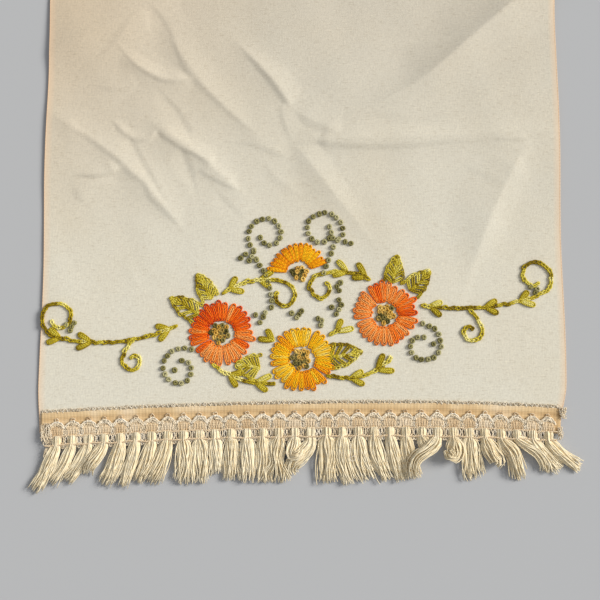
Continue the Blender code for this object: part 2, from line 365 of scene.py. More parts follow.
def draw_height_map():
    """Every fold, crease and swell on one grid. The hem and the plain stretch stay flat."""
    x, y = np.meshgrid(MAP_X, MAP_Y)
    broad = np.zeros(x.shape)
    for fold in BROAD_FOLDS:
        broad = np.maximum(broad, fold_height(fold, x, y, BROAD_NARROWEST, BROAD_POWER))
    fine = sum(fold_height(fold, x, y, SHARP_NARROWEST, SHARP_POWER) for fold in CREASES)
    air = AIR_BELOW * np.exp(-(((y - AIR_MIDDLE) / AIR_SPREAD) ** 2))
    height = np.maximum(broad + fine + air + swell_height(x, y), 0.0)
    height *= ease((y + HALF_LENGTH - FLAT_HEM) / FLAT_HEM_FADE)
    return height * ease((PLAIN_FROM - y) / PLAIN_FADE)


HEIGHT_MAP = draw_height_map()


def lift(x, y):
    """How high the cloth's underside lies above the table, read off the map."""
    column = np.clip((x - MAP_X[0]) / MAP_STEP, 0.0, len(MAP_X) - 1.001)
    row = np.clip((y - MAP_Y[0]) / MAP_STEP, 0.0, len(MAP_Y) - 1.001)
    i, j = column.astype(int), row.astype(int)
    u, v = column - i, row - j
    near = HEIGHT_MAP[j, i] * (1 - u) + HEIGHT_MAP[j, i + 1] * u
    far = HEIGHT_MAP[j + 1, i] * (1 - u) + HEIGHT_MAP[j + 1, i + 1] * u
    return near * (1 - v) + far * v


print("highest fold, mm:", round(float(HEIGHT_MAP.max()), 2))

# %% [markdown]
# ## Finishes from nodes
#
# Two small helpers keep the materials short. One adds a node and links or sets its inputs, and the
# other adds a colour ramp. Every finish is then a few lines that read like a recipe.

# %% Node helpers


def put(tree, kind, inputs=None, **settings):
    """Adds a node. Each input is a value, or another node's output to link."""
    made = tree.nodes.new("ShaderNode" + kind)
    for name, value in settings.items():
        setattr(made, name, value)
    for name, value in (inputs or {}).items():
        if isinstance(value, bpy.types.NodeSocket):
            tree.links.new(value, made.inputs[name])
        else:
            made.inputs[name].default_value = value
    return made


def work_out(tree, operation, *values):
    """A Math node's output."""
    return put(tree, "Math", dict(enumerate(values)), operation=operation).outputs[0]


def ramp(tree, factor, stops):
    """A colour ramp's output. A stop is a place and a linear colour."""
    made = put(tree, "ValToRGB", {"Fac": factor})
    band = made.color_ramp.elements
    while len(band) < len(stops):
        band.new(0.5)
    for element, (place, colour) in zip(band, stops):
        element.position = place
        element.color = (*colour, 1.0)
    return made.outputs["Color"]


def blend_in(tree, amount, base, over, kind="MIX"):
    """Two colours mixed by an amount."""
    made = put(tree, "Mix", data_type="RGBA", blend_type=kind)
    for index, value in ((0, amount), (6, base), (7, over)):
        if isinstance(value, bpy.types.NodeSocket):
            tree.links.new(value, made.inputs[index])
        else:
            made.inputs[index].default_value = value
    return made.outputs[2]


def new_finish(name, roughness, sheen):
    """A material, its node tree and its shader, with the values that are the same all over."""
    made = bpy.data.materials.new(name)
    made.use_nodes = True
    shader = made.node_tree.nodes["Principled BSDF"]
    shader.inputs["Roughness"].default_value = roughness
    shader.inputs["Sheen Weight"].default_value = sheen
    shader.inputs["Sheen Roughness"].default_value = 0.5
    shader.inputs["Specular IOR Level"].default_value = 0.25
    return made, made.node_tree, shader


def times(tree, colour, other):
    """One colour multiplied by another."""
    return blend_in(tree, 1.0, colour, other, "MULTIPLY")


def noise(tree, place, scale, detail, **more):
    """A cloudy noise's output, read at a place."""
    return put(tree, "TexNoise", {"Vector": place, "Scale": scale, "Detail": detail, **more}).outputs["Fac"]


def sine_wave(tree, distance, pitch):
    """A sine that repeats every pitch."""
    return work_out(tree, "SINE", work_out(tree, "MULTIPLY", distance, math.tau / pitch))


def read_map(tree, name):
    """The two parts of a map: X and Y."""
    split = put(tree, "SeparateXYZ", {"Vector": put(tree, "UVMap", uv_map=name).outputs["UV"]})
    return split.outputs["X"], split.outputs["Y"]


def emboss(tree, shader, height, strength, distance):
    """Bump in the shader's normal."""
    bump = put(tree, "Bump", {"Height": height, "Strength": strength, "Distance": distance})
    tree.links.new(bump.outputs[0], shader.inputs["Normal"])


print("node helpers ready")

# %% [markdown]
# ## Ivory cotton
#
# Plain-woven cotton has a fine, even grid of threads, and here and there a slub: a thread that is
# thicker for a centimetre. The weave follows the cloth's own straight-cut map, so it bends with the hem.
# Age has yellowed the cloth in soft patches, and its rolled long edges are tinted peach.

# %% Cotton finish
COTTON = (0.735, 0.704, 0.592)
COTTON_AGED = (0.700, 0.635, 0.490)
# Painted shade: the next four values darken and grey the cloth along its length past the flowers, and brown
# it towards the left edge there.
COTTON_IN_SHADE = (0.565, 0.500, 0.400)
COTTON_SHADE_BROWN = (0.640, 0.480, 0.300)
SHADE_BROWN_WIDTH = 0.15
SHADE_ALONG = ((0.10, 0.0), (0.24, 0.46), (0.36, 0.77), (0.44, 0.70), (0.66, 0.12))
PEACH = (0.87, 0.61, 0.39)
WEAVE_PITCH = 0.00034
WEAVE_DEPTH = 0.00012
EDGE_TINT = 0.55
EDGE_TINT_WIDTH = 0.0045
PLAIN = (1.0, 1.0, 1.0)
AGED_STOPS = ((0.42, (0.0, 0.0, 0.0)), (0.72, (0.55, 0.55, 0.55)))
DASH_STOPS = (
    (0.28, (1.06, 1.055, 1.04)),
    (0.38, PLAIN),
    (0.58, PLAIN),
    (0.72, (0.90, 0.88, 0.85)),
)
THREAD_STOPS = ((0.30, (0.955, 0.945, 0.93)), (0.5, PLAIN), (0.70, (1.035, 1.03, 1.025)))
SPECKLE_STOPS = ((0.30, (0.93, 0.92, 0.905)), (0.70, (1.055, 1.05, 1.04)))


def cotton_finish():
    """Woven ivory cotton: yellowed in patches, with painted shade that greys it past the flowers and browns
    it towards the left edge, peach along its edges.
    """
    made, tree, shader = new_finish("ivory cotton", 0.92, 0.12)
    flat = put(tree, "UVMap", uv_map="cut").outputs["UV"]
    split = put(tree, "SeparateXYZ", {"Vector": flat})
    across, along = split.outputs["X"], split.outputs["Y"]
    warp = sine_wave(tree, across, WEAVE_PITCH)
    weft = sine_wave(tree, along, WEAVE_PITCH)
    weave = work_out(tree, "MULTIPLY", warp, weft)

    def slubs(scale_across, scale_along):
        stretched = put(tree, "Mapping", {"Vector": flat, "Scale": (scale_across, scale_along, 1.0)})
        return noise(tree, stretched.outputs[0], 1.0, 1.0)

    weft_slubs = slubs(210.0, 1250.0)
    warp_slubs = slubs(1250.0, 240.0)
    grain = noise(tree, flat, 900.0, 2.0)
    aged = ramp(tree, noise(tree, flat, 11.0, 3.0, Roughness=0.55), AGED_STOPS)
    # Painted shade: a ramp along the cloth that greys it, and browns it near the left edge.
    painted_shade = ramp(tree, along, tuple((place, (share, share, share)) for place, share in SHADE_ALONG))
    colour = blend_in(tree, aged, (*COTTON, 1.0), (*COTTON_AGED, 1.0))
    colour = blend_in(tree, painted_shade, colour, (*COTTON_IN_SHADE, 1.0))
    near_left = work_out(tree, "SUBTRACT", 1.0, work_out(tree, "DIVIDE", across, SHADE_BROWN_WIDTH))
    near_left = put(tree, "Clamp", {"Value": near_left}).outputs[0]
    colour = blend_in(tree, work_out(tree, "MULTIPLY", near_left, painted_shade), colour, (*COTTON_SHADE_BROWN, 1.0))
    colour = times(tree, colour, ramp(tree, weft_slubs, DASH_STOPS))
    colour = times(tree, colour, ramp(tree, warp_slubs, THREAD_STOPS))
    colour = times(tree, colour, ramp(tree, grain, SPECKLE_STOPS))
    both = work_out(tree, "ADD", weft_slubs, warp_slubs)
    to_edge = work_out(tree, "MINIMUM", across, work_out(tree, "SUBTRACT", CLOTH_WIDTH * MM, across))
    tint = work_out(tree, "SUBTRACT", 1.0, work_out(tree, "DIVIDE", to_edge, EDGE_TINT_WIDTH))
    tint = work_out(tree, "MULTIPLY", put(tree, "Clamp", {"Value": tint}).outputs[0], EDGE_TINT)
    colour = blend_in(tree, tint, colour, (*PEACH, 1.0))
    tree.links.new(colour, shader.inputs["Base Color"])
    even = work_out(tree, "MULTIPLY", weave, 0.5)
    rough = work_out(tree, "ADD", even, work_out(tree, "MULTIPLY", both, 0.7))
    emboss(tree, shader, rough, 0.35, WEAVE_DEPTH)
    return made


cotton = cotton_finish()
print("finish:", cotton.name)

# %% [markdown]
# ## The cloth
#
# The cloth is a grid in the straight-cut state, moved to where it lies and lifted by the map. Rows are
# close together only where there are creases, which keeps the mesh light. One layer is enough for thin
# cotton, because its thickness only shows at the rolled edges, and those are pieces of their own. The
# straight-cut place of each corner is kept as the map for the weave.

# %% Cloth
Rows = namedtuple("Rows", "start spacing")
CLOTH_ROWS = (
    Rows(-470.0, 3.0),
    Rows(-362.0, 1.0),
    Rows(-192.0, 2.8),
    Rows(-150.0, 10.0),
)
COLUMN_SPACING = 1.0


def row_places():
    """Where the cloth's rows run, from the near hem to the far one."""
    stops = [row.start for row in CLOTH_ROWS[1:]] + [HALF_LENGTH]
    places = []
    for row, stop in zip(CLOTH_ROWS, stops):
        count = round((stop - row.start) / row.spacing)
        places.extend(np.linspace(row.start, stop, count, endpoint=False))
    return np.array(places + [HALF_LENGTH])


def grid_quads(rows, columns):
    """Corner numbers of each face in a grid."""
    number = np.arange(rows * columns).reshape(rows, columns)
    corners = (number[:-1, :-1], number[:-1, 1:], number[1:, 1:], number[1:, :-1])
    return np.stack(corners, axis=-1).reshape(-1, 4)


def new_piece(name, points, quads, finish, map_name, corners):
    """A smooth object with a map. Points are in millimetres, and corners are each face corner's place."""
    mesh = bpy.data.meshes.new(name)
    mesh.from_pydata((points * MM).tolist(), [], quads.tolist())
    mesh.uv_layers.new(name=map_name).data.foreach_set("uv", corners.ravel())
    mesh.shade_smooth()
    mesh.materials.append(finish)
    piece = bpy.data.objects.new(name, mesh)
    bpy.context.scene.collection.objects.link(piece)
    return piece


def make_cloth():
    """The cloth, cut straight and then laid in its folds."""
    columns = np.linspace(-HALF_WIDTH, HALF_WIDTH, round(CLOTH_WIDTH / COLUMN_SPACING) + 1)
    across, along = np.meshgrid(columns, row_places())
    x, y = on_table(across, along)
    points = np.stack([x, y, lift(x, y) + CLOTH_THICK], axis=-1).reshape(-1, 3)
    quads = grid_quads(*across.shape)
    cut = np.stack([across + HALF_WIDTH, along + HALF_LENGTH], axis=-1).reshape(-1, 2) * MM
    return new_piece("runner_cloth", points, quads, cotton, "cut", cut[quads.ravel()])


cloth = make_cloth()
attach(cloth, BODY)
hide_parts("cloth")
print("cloth faces:", len(cloth.data.polygons))

# %% [markdown]
# ## Spinning thread
#
# Every stitch, cord and tassel is thread, so one function makes them all: it takes many paths with the
# same number of points and wraps each in a closed tube. Curve objects would do this too, but thousands
# of them are slow. The tubes carry two things for the finish: how far along the thread a point is, and
# a tone that says how light the thread is, as in cotton that is dyed in changing shades.

# %% Spin threads into tubes
TILTED_UP = np.array([0.11, 0.07, 1.0])


def new_work():
    """An empty piece of thread work."""
    return {"points": [], "quads": [], "map": [], "tone": [], "count": 0}


def cap_quads(ring):
    """Faces that close the end of a tube with an even number of sides."""
    sides = ring.shape[-1]
    return [ring[..., [0, k, k + 1, k + 2]] for k in range(1, sides - 2, 2)]


def tube_sections(paths, radius, sides):
    """The ring of points round each point of each path."""
    ahead = unit(np.gradient(paths, axis=1))
    side = unit(np.cross(ahead[:, 0], TILTED_UP))
    across = np.empty_like(paths)
    for step in range(paths.shape[1]):
        forward = ahead[:, step]
        side = unit(side - forward * np.sum(side * forward, axis=-1, keepdims=True))
        across[:, step] = side
    upward = np.cross(across, ahead)
    turn = (np.arange(sides) + 0.5) * (math.tau / sides)
    ring = across[:, :, None] * np.cos(turn)[:, None] + upward[:, :, None] * np.sin(turn)[:, None]
    girth = np.broadcast_to(radius, paths.shape[:2])
    return paths[:, :, None] + ring * girth[:, :, None, None]


def spin(work, paths, radius, sides=6, tone=0.5):
    """Adds a thread along each path. Paths are in millimetres, all with the same number of points."""
    paths = np.asarray(paths, float)
    if paths.ndim == 2:
        paths = paths[None]
    points = tube_sections(paths, radius, sides)
    count, steps = paths.shape[:2]
    number = np.arange(count * steps * sides).reshape(count, steps, sides) + work["count"]
    beside = np.roll(number, -1, axis=2)
    quads = np.stack([number[:, :-1], number[:, 1:], beside[:, 1:], beside[:, :-1]], axis=-1)
    run = np.linalg.norm(np.diff(paths, axis=1), axis=-1).cumsum(axis=1)
    run = np.concatenate([np.zeros((count, 1)), run], axis=1)[:, :, None]
    turned = np.broadcast_to(np.arange(sides) / sides, (count, steps - 1, sides))
    start = np.broadcast_to(run[:, :-1], turned.shape)
    stop = np.broadcast_to(run[:, 1:], turned.shape)
    after = turned + 1.0 / sides
    marks = [(start, turned), (stop, turned), (stop, after), (start, after)]
    thread_map = np.stack([np.stack(mark, axis=-1) for mark in marks], axis=-2)
    work["points"].append(points.reshape(-1, 3))
    work["quads"].append(quads.reshape(-1, 4))
    work["map"].append(thread_map.reshape(-1, 4, 2))
    for cap in cap_quads(number[:, 0]) + [face[..., ::-1] for face in cap_quads(number[:, -1])]:
        work["quads"].append(cap.reshape(-1, 4))
        work["map"].append(np.zeros((cap.size // 4, 4, 2)))
    tones = np.asarray(tone, float)
    if tones.ndim == 1:
        tones = tones[:, None]
    tones = np.broadcast_to(tones, (count, steps))
    work["tone"].append(np.repeat(tones.reshape(-1), sides))
    work["count"] += count * steps * sides


def finish_work(name, work, finish, settle=None):
    """Turns thread work into a piece that rides on the runner."""
    points = np.vstack(work["points"])
    if settle is not None:
        points = settle(points)
    quads = np.vstack(work["quads"])
    piece = new_piece(name, points, quads, finish, "thread", np.vstack(work["map"]))
    tone = piece.data.attributes.new("tone", "FLOAT", "POINT")
    tone.data.foreach_set("value", np.concatenate(work["tone"]))
    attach(piece, BODY)
    print(name, "triangles:", 2 * len(quads))
    return piece


def on_cloth(points):
    """Sets work that was made flat, at heights above the cloth, down on the creased cloth."""
    raised = points.copy()
    raised[:, 2] += lift(points[:, 0], points[:, 1]) + CLOTH_THICK
    return raised


print("thread helpers ready")

# %% [markdown]
# ## Thread finishes
#
# Twisted thread shows slanting grooves. They run along the tube's own map, so a sine of the distance
# along the thread plus the turn round it draws them: as bump, and as painted shade that darkens the
# colour in the grooves. The ramp runs from the darkest to the lightest shade of the skein.

# %% Thread finish
THREAD_SHINE = 0.12
TWIST_DEPTH = 0.00015
# The groove value sets how much painted shade darkens the colour in the twist's grooves.
THREAD_LOOK = {"roughness": 0.62, "sheen": 0.04, "speckle": 0.6, "groove": 0.42, "relief": 0.7}


def thread_finish(name, stops, pitch, plies, **changes):
    """Twisted thread. Pitch is a turn's length and plies its strands. Changes replace parts of the look."""
    look = {**THREAD_LOOK, **changes}
    made, tree, shader = new_finish(name, look["roughness"], look["sheen"])
    shader.inputs["Specular IOR Level"].default_value = THREAD_SHINE
    along, around = read_map(tree, "thread")
    turns = work_out(tree, "DIVIDE", along, pitch)
    round_it = work_out(tree, "MULTIPLY", around, plies)
    angle = work_out(tree, "MULTIPLY", work_out(tree, "ADD", turns, round_it), math.tau)
    twist = work_out(tree, "MULTIPLY_ADD", work_out(tree, "SINE", angle), 0.5, 0.5)
    place = put(tree, "TexCoord").outputs["Object"]
    mottle = noise(tree, place, 850.0, 2.0)
    tone = put(tree, "Attribute", attribute_name="tone").outputs["Fac"]
    uneven = work_out(tree, "MULTIPLY_ADD", mottle, look["speckle"], -look["speckle"] / 2.0)
    colour = ramp(tree, work_out(tree, "ADD", tone, uneven), stops)
    # Painted shade: the colour is darkened in the grooves of the twist.
    low = 1.0 - look["groove"]
    grooves = ramp(tree, twist, ((0.0, (low, low * 0.97, low * 0.92)), (0.6, PLAIN)))
    tree.links.new(times(tree, colour, grooves), shader.inputs["Base Color"])
    emboss(tree, shader, twist, look["relief"], TWIST_DEPTH)
    return made


ORANGE = (
    (0.0, (0.66, 0.045, 0.0)),
    (0.40, (1.0, 0.165, 0.004)),
    (0.75, (1.0, 0.240, 0.018)),
    (1.0, (1.0, 0.430, 0.120)),
)
GOLDEN = (
    (0.0, (0.84, 0.220, 0.0)),
    (0.40, (1.0, 0.430, 0.002)),
    (0.75, (1.0, 0.610, 0.012)),
    (1.0, (1.0, 0.760, 0.150)),
)
OLIVE = (
    (0.0, (0.225, 0.145, 0.0)),
    (0.35, (0.560, 0.425, 0.018)),
    (0.70, (0.730, 0.610, 0.070)),
    (1.0, (0.920, 0.820, 0.280)),
)
SAGE = ((0.0, (0.095, 0.078, 0.012)), (0.5, (0.320, 0.290, 0.105)), (1.0, (0.620, 0.580, 0.330)))
CENTRE = (
    (0.0, (0.100, 0.085, 0.015)),
    (0.35, (0.300, 0.240, 0.070)),
    (0.6, (0.600, 0.320, 0.040)),
    (1.0, (0.88, 0.600, 0.160)),
)
orange_floss = thread_finish("orange floss", ORANGE, 2.2, 2)
golden_floss = thread_finish("golden floss", GOLDEN, 2.2, 2)
olive_perle = thread_finish("olive perle", OLIVE, 1.5, 2, groove=0.5, speckle=0.8)
sage_perle = thread_finish("sage perle", SAGE, 1.4, 2, groove=0.45, speckle=0.5)
centre_floss = thread_finish("centre floss", CENTRE, 1.5, 2, groove=0.4, speckle=0.5)
print("thread finishes: 5")

# %% [markdown]
# ## Places for a needle
#
# Knots go at even steps along a smooth line. Places are given as x, and as the distance up from the
# straight line of the hem.

# %% Even steps


def evenly(points, spacing):
    """Places on a smooth curve through the points, about a spacing apart."""
    line = through(points)
    run = run_along(line)
    places = np.linspace(0.0, run[-1], max(round(run[-1] / spacing), 1) + 1)
    return np.column_stack([np.interp(places, run, line[:, axis]) for axis in range(line.shape[1])])


def from_hem(points):
    """Turns (x, distance up from the hem's line) into places on the table."""
    points = np.array(points, float)
    return points + (0.0, -HALF_LENGTH)


print("steps along a 10 mm line:", len(evenly([(0.0, 0.0), (10.0, 0.0)], 2.0)) - 1)

# %% [markdown]
# ## Stems and scrolls
#
# Vines and trails of knots are drawn anew from a few sizes. A stem sets off with a heading and bends
# evenly, like an arc, and a scroll then curls up with a radius that shrinks. Sizes are in whole
# millimetres and angles in degrees, anticlockwise. A scroll that winds clockwise has turns below zero,
# and a stem without a scroll has none.

# %% Stems and scrolls
SCROLL_STEP = 2.5
SCROLL_CLOSES = 0.6
GOLDEN_TURN = math.pi * (3.0 - math.sqrt(5.0))
Trail = namedtuple("Trail", "name x up heading length bend radius turns")
Heap = namedtuple("Heap", "x up across tall knots")


def pointing(heading):
    """A step of one millimetre in the direction of a heading in degrees."""
    return np.array([math.cos(math.radians(heading)), math.sin(math.radians(heading))])


def scroll_path(way):
    """The places along a stem and its scroll, walked in equal steps."""
    stem_steps = max(round(way.length / SCROLL_STEP), 1)
    headings = list(way.heading + way.bend * (np.arange(stem_steps) + 0.5) / stem_steps)
    wound = 0.0
    while wound < abs(way.turns):
        radius = way.radius * (1.0 - SCROLL_CLOSES * wound / abs(way.turns))
        wound += SCROLL_STEP / (math.tau * radius)
        headings.append(way.heading + way.bend + math.copysign(wound * 360.0, way.turns))
    steps = np.array([pointing(heading) * SCROLL_STEP for heading in headings])
    return np.vstack([[(way.x, way.up)], np.array([way.x, way.up]) + steps.cumsum(axis=0)])


def heap_places(heap):
    """Knots packed like the seeds of a sunflower, in an oval."""
    index = np.arange(heap.knots)
    reach = np.sqrt((index + 0.4) / heap.knots)
    turn = index * GOLDEN_TURN
    x = heap.x + reach * np.cos(turn) * heap.across / 2.0
    up = heap.up + reach * np.sin(turn) * heap.tall / 2.0
    return from_hem(np.column_stack([x, up]))


print("steps in a 10 mm stem:", round(10.0 / SCROLL_STEP))

# %% [markdown]
# ## French knots
#
# A french knot is thread wound twice round the needle and pulled down into the cloth. So each is a
# short coil that narrows upwards, with its end dipping into the middle. Knots in a row differ a little in
# size, turn and shade, and some sit against their neighbour.

# %% French knots
KNOT_TURNS = 2.2
KNOT_POINTS = 26
KNOT_THREAD = 0.55
KNOT_SIZE = 1.32
KNOT_NARROWING = 0.45
KNOT_FOOT = 0.42
KNOT_RISE = 0.95
KNOT_TUCK_FROM = 0.9
KNOT_TUCK_IN = 0.85
KNOT_TUCK_DOWN = 0.7
KNOT_STRAY = 0.22
stitch_dice = np.random.default_rng(7)


def knot_coils(centres, sizes):
    """The coiled paths of knots."""
    share = np.linspace(0.0, 1.0, KNOT_POINTS)
    start = stitch_dice.uniform(0.0, math.tau, len(centres))[:, None]
    turn = start + share * KNOT_TURNS * math.tau
    tuck = ease((share - KNOT_TUCK_FROM) / 0.1)
    reach = (KNOT_SIZE - KNOT_NARROWING * share**2) * (1.0 - tuck * KNOT_TUCK_IN)
    high = KNOT_FOOT + KNOT_RISE * share - KNOT_TUCK_DOWN * tuck
    squeeze = stitch_dice.uniform(0.86, 1.1, len(centres))[:, None]
    x = centres[:, :1] + reach * np.cos(turn) * sizes[:, None] * squeeze
    y = centres[:, 1:2] + reach * np.sin(turn) * sizes[:, None] / squeeze
    return np.stack([x, y, np.broadcast_to(high, x.shape)], axis=-1)


def add_knots(work, centres, size=1.0, tones=(0.25, 0.8)):
    """Adds a knot at each centre."""
    centres = centres + stitch_dice.normal(0.0, KNOT_STRAY, centres.shape)
    sizes = size * stitch_dice.uniform(0.9, 1.1, len(centres))
    tone = stitch_dice.uniform(*tones, len(centres))
    spin(work, knot_coils(centres, sizes), KNOT_THREAD * size, 6, tone)


KNOT_SPACING = 4.1
KNOT_TRAILS = (
    Trail("top left scroll", -31, 110, 130, 6, -15, 13, -0.95),
    Trail("top left stem", -29, 104, -55, 32, -35, 10, 0.0),
    Trail("top right scroll", 26, 120, 90, 6, 10, 13, 1.0),
    Trail("top right twig", 31, 114, 155, 12, 15, 10, 0.0),
    Trail("top right stem", 22, 116, -115, 23, 5, 10, 0.0),
    Trail("left scroll", -70, 47, 165, 8, 20, 13, 0.9),
    Trail("right scroll", 76, 63, -10, 6, -15, 13, -0.9),
)
KNOT_CLUSTERS = (
    Heap(-34, 106, 12, 10, 6),
    Heap(23, 84, 4, 14, 4),
    Heap(21, 72, 12, 8, 4),
    Heap(-27, 67, 12, 8, 4),
    Heap(-4, 69, 12, 6, 4),
    Heap(11, 65, 6, 6, 3),
    Heap(82, 50, 2, 2, 1),
    Heap(-81, 34, 2, 2, 1),
    Heap(-147, 61, 9, 7, 4),
    Heap(147, 85, 9, 5, 3),
)

sage_work = new_work()
for trail in KNOT_TRAILS:
    add_knots(sage_work, from_hem(evenly(scroll_path(trail), KNOT_SPACING)))
for cluster in KNOT_CLUSTERS:
    add_knots(sage_work, heap_places(cluster))
sage_piece = finish_work("embroidery_knots", sage_work, sage_perle, on_cloth)

# %% [markdown]
# ## Chain stitch
#
# Chain stitch is a row of small loops, each held down by the next. A loop is a teardrop whose width
# grows towards its far end. The loops follow the vine's curve and overlap, and the skein's shade drifts
# from link to link.

# %% Chain stitch
LINK_POINTS = 14
LINK_OVERLAP = 0.74
CHAIN_LINK = 3.6
CHAIN_WIDTH = 2.2
CHAIN_THREAD = 0.62
CHAIN_UNEVEN = 0.2
CHAIN_SWAY = 0.28
LINK_WIDTHS = (0.75, 1.3)
LINK_ROOT = 0.42
LINK_SLANT = 0.1
LINK_LIFT = 0.45
LINK_ARCH = 0.35


def drifting(count, low=0.05, high=0.80, step=0.3):
    """Shades that wander from one stitch to the next."""
    shades = [stitch_dice.uniform(low, high)]
    for _ in range(count - 1):
        shades.append(min(max(shades[-1] + stitch_dice.normal(0.0, step), low), high))
    return np.array(shades)


def chain_links(line, link, width):
    """The loops of a chain along a finely stepped line."""
    run = run_along(line)
    starts = np.arange(0.0, max(run[-1] - link * 0.6, 0.1), link * LINK_OVERLAP)
    turn = np.linspace(0.0, math.tau, LINK_POINTS)
    along = (1.0 - np.cos(turn)) / 2.0
    widths = width * stitch_dice.uniform(*LINK_WIDTHS, (len(starts), 1))
    aside = np.sin(turn) * (LINK_ROOT + (1.0 - LINK_ROOT) * along) * widths / 2.0
    hump = np.sin(along * math.pi)
    aside = aside + stitch_dice.normal(0.0, CHAIN_SWAY, (len(starts), 1)) + hump * LINK_SLANT
    places = starts[:, None] + along * link
    ahead = unit(np.gradient(line, axis=0))
    x, y, ahead_x, ahead_y = (
        np.interp(places, run, values) for values in (line[:, 0], line[:, 1], ahead[:, 0], ahead[:, 1])
    )
    high = np.broadcast_to(LINK_LIFT + LINK_ARCH * hump, x.shape)
    return np.stack([x - ahead_y * aside, y + ahead_x * aside, high], axis=-1)


def add_chain(work, points, link=CHAIN_LINK, width=CHAIN_WIDTH, thread=CHAIN_THREAD):
    """A chain stitched along a smooth line through the points."""
    links = chain_links(from_hem(through(points)), link, width)
    shades = drifting(len(links)) + stitch_dice.normal(0.0, CHAIN_UNEVEN, len(links))
    spin(work, links, thread, 6, np.clip(shades, 0.0, 1.0))


Spray = namedtuple("Spray", "name x up heading length bend radius turns leaf_pairs")
SPRAYS = (
    Spray("left", -79, 62, 205, 80, -40, 12, -1.15, (0.05, 0.7, 0.95)),
    Spray("left branch", -106, 54, 225, 15, 30, 7, 0.8, ()),
    Spray("right", 75, 75, -10, 78, 30, 12, 1.05, (0.05, 0.5, 0.8)),
    Spray("right branch", 105, 72, -40, 14, -35, 7, -0.8, ()),
    Spray("upper left", -51, 82, 35, 42, -50, 9, -0.75, (0.1, 0.6)),
    Spray("upper right", 43, 91, 150, 36, 50, 9, 0.85, (0.05, 0.4)),
    Spray("lower left", -57, 38, -40, 42, 45, 10, 0.0, (0.3, 0.7)),
    Spray("lower right", 15, 31, -20, 46, 70, 10, 0.0, (0.3, 0.7)),
    Spray("short, right", 17, 55, 30, 10, 20, 10, 0.0, (0.6,)),
    Spray("short, left", -18, 52, 140, 5, 0, 10, 0.0, (0.2,)),
)
olive_work = new_work()
for spray in SPRAYS:
    add_chain(olive_work, scroll_path(spray))
print("vines:", len(SPRAYS), "points so far:", olive_work["count"])

# %% [markdown]
# ## Lazy daisy stitch
#
# A lazy daisy is one long loop, caught down at its tip. The leaves and petals here are double: a small
# loop lies inside the large one, and leaves a slit of shade along the middle.

# %% Lazy daisy stitch
LOOP_POINTS = 18
LEAF_THREAD = 0.56
LOOP_ROOT = 0.5
LOOP_ARCH = 0.35
INNER_START = 0.12
INNER_STOP = 0.13
INNER_WIDTH = 0.40
INNER_LIFT = 0.62
# The inner loop's paler shade is a painted highlight.
INNER_HIGHLIGHT = (0.1, 0.38)
CATCH_THREAD = 0.7


def loop_path(root, tip, width, squareness=0.6, lift_by=0.5):
    """A loop from root to tip and back, with nearly straight sides and a round end."""
    root, tip = np.asarray(root, float), np.asarray(tip, float)
    turn = np.linspace(0.0, math.tau, LOOP_POINTS)
    along = (1.0 - np.cos(turn)) / 2.0
    wave = np.sin(turn)
    fullness = LOOP_ROOT + (1.0 - LOOP_ROOT) * along
    aside = np.sign(wave) * np.abs(wave) ** squareness * fullness * width / 2.0
    run = tip - root
    beside = unit(np.array([-run[1], run[0]]))
    plan = root + run * along[:, None] + beside * aside[:, None]
    return np.column_stack([plan, lift_by + LOOP_ARCH * np.sin(along * math.pi)])


def add_loop(work, root, tip, width, thread, tone, filled=True):
    """A lazy daisy stitch, caught down at its tip. Filled, it has a second loop inside, paler as a painted
    highlight.
    """
    root, tip = np.asarray(root, float), np.asarray(tip, float)
    run = tip - root
    far = unit(run)
    spin(work, loop_path(root, tip, width), thread, 6, tone)
    if filled:
        start, stop = root + run * INNER_START, tip - run * INNER_STOP
        inner = loop_path(start, stop, width * INNER_WIDTH, lift_by=INNER_LIFT)
        # Painted highlight: the inner loop takes a paler shade than the outer one.
        spin(work, inner, thread, 6, min(tone + stitch_dice.uniform(*INNER_HIGHLIGHT), 1.0))
    catch = [(*(tip - far * 0.9), 0.8), (*(tip - far * 0.1), 1.2), (*(tip + far * 0.35), 0.3)]
    spin(work, catch, thread * CATCH_THREAD, 4, tone)


LEAF_LENGTH = 10.0
LEAF_WIDTH = 3.7
LEAF_TURN = 30.0
LEAF_TURN_STRAY = 5.0
LEAF_LENGTHS = (0.85, 1.12)
LEAF_SHADES = (0.05, 0.75)


def add_leaf_pair(work, spray, share):
    """Two leaves at one place on a stem, one to each side of its way."""
    root = from_hem([scroll_path(spray)[round(share * spray.length / SCROLL_STEP)]])[0]
    for side in (-1.0, 1.0):
        turn = side * (LEAF_TURN + stitch_dice.normal(0.0, LEAF_TURN_STRAY))
        ahead = pointing(spray.heading + spray.bend * share + turn)
        length = LEAF_LENGTH * stitch_dice.uniform(*LEAF_LENGTHS)
        shade = stitch_dice.uniform(*LEAF_SHADES)
        add_loop(work, root + ahead, root + ahead * length, LEAF_WIDTH, LEAF_THREAD, shade)


for spray in SPRAYS:
    for share in spray.leaf_pairs:
        add_leaf_pair(olive_work, spray, share)
print("leaves:", 2 * sum(len(spray.leaf_pairs) for spray in SPRAYS))

# %% [markdown]
# ## Outlined leaves
#
# The larger leaves are drawn with chain stitch: two bowed sides that meet in a point, a vein between
# them, and a few slanting loops from the vein to the sides.

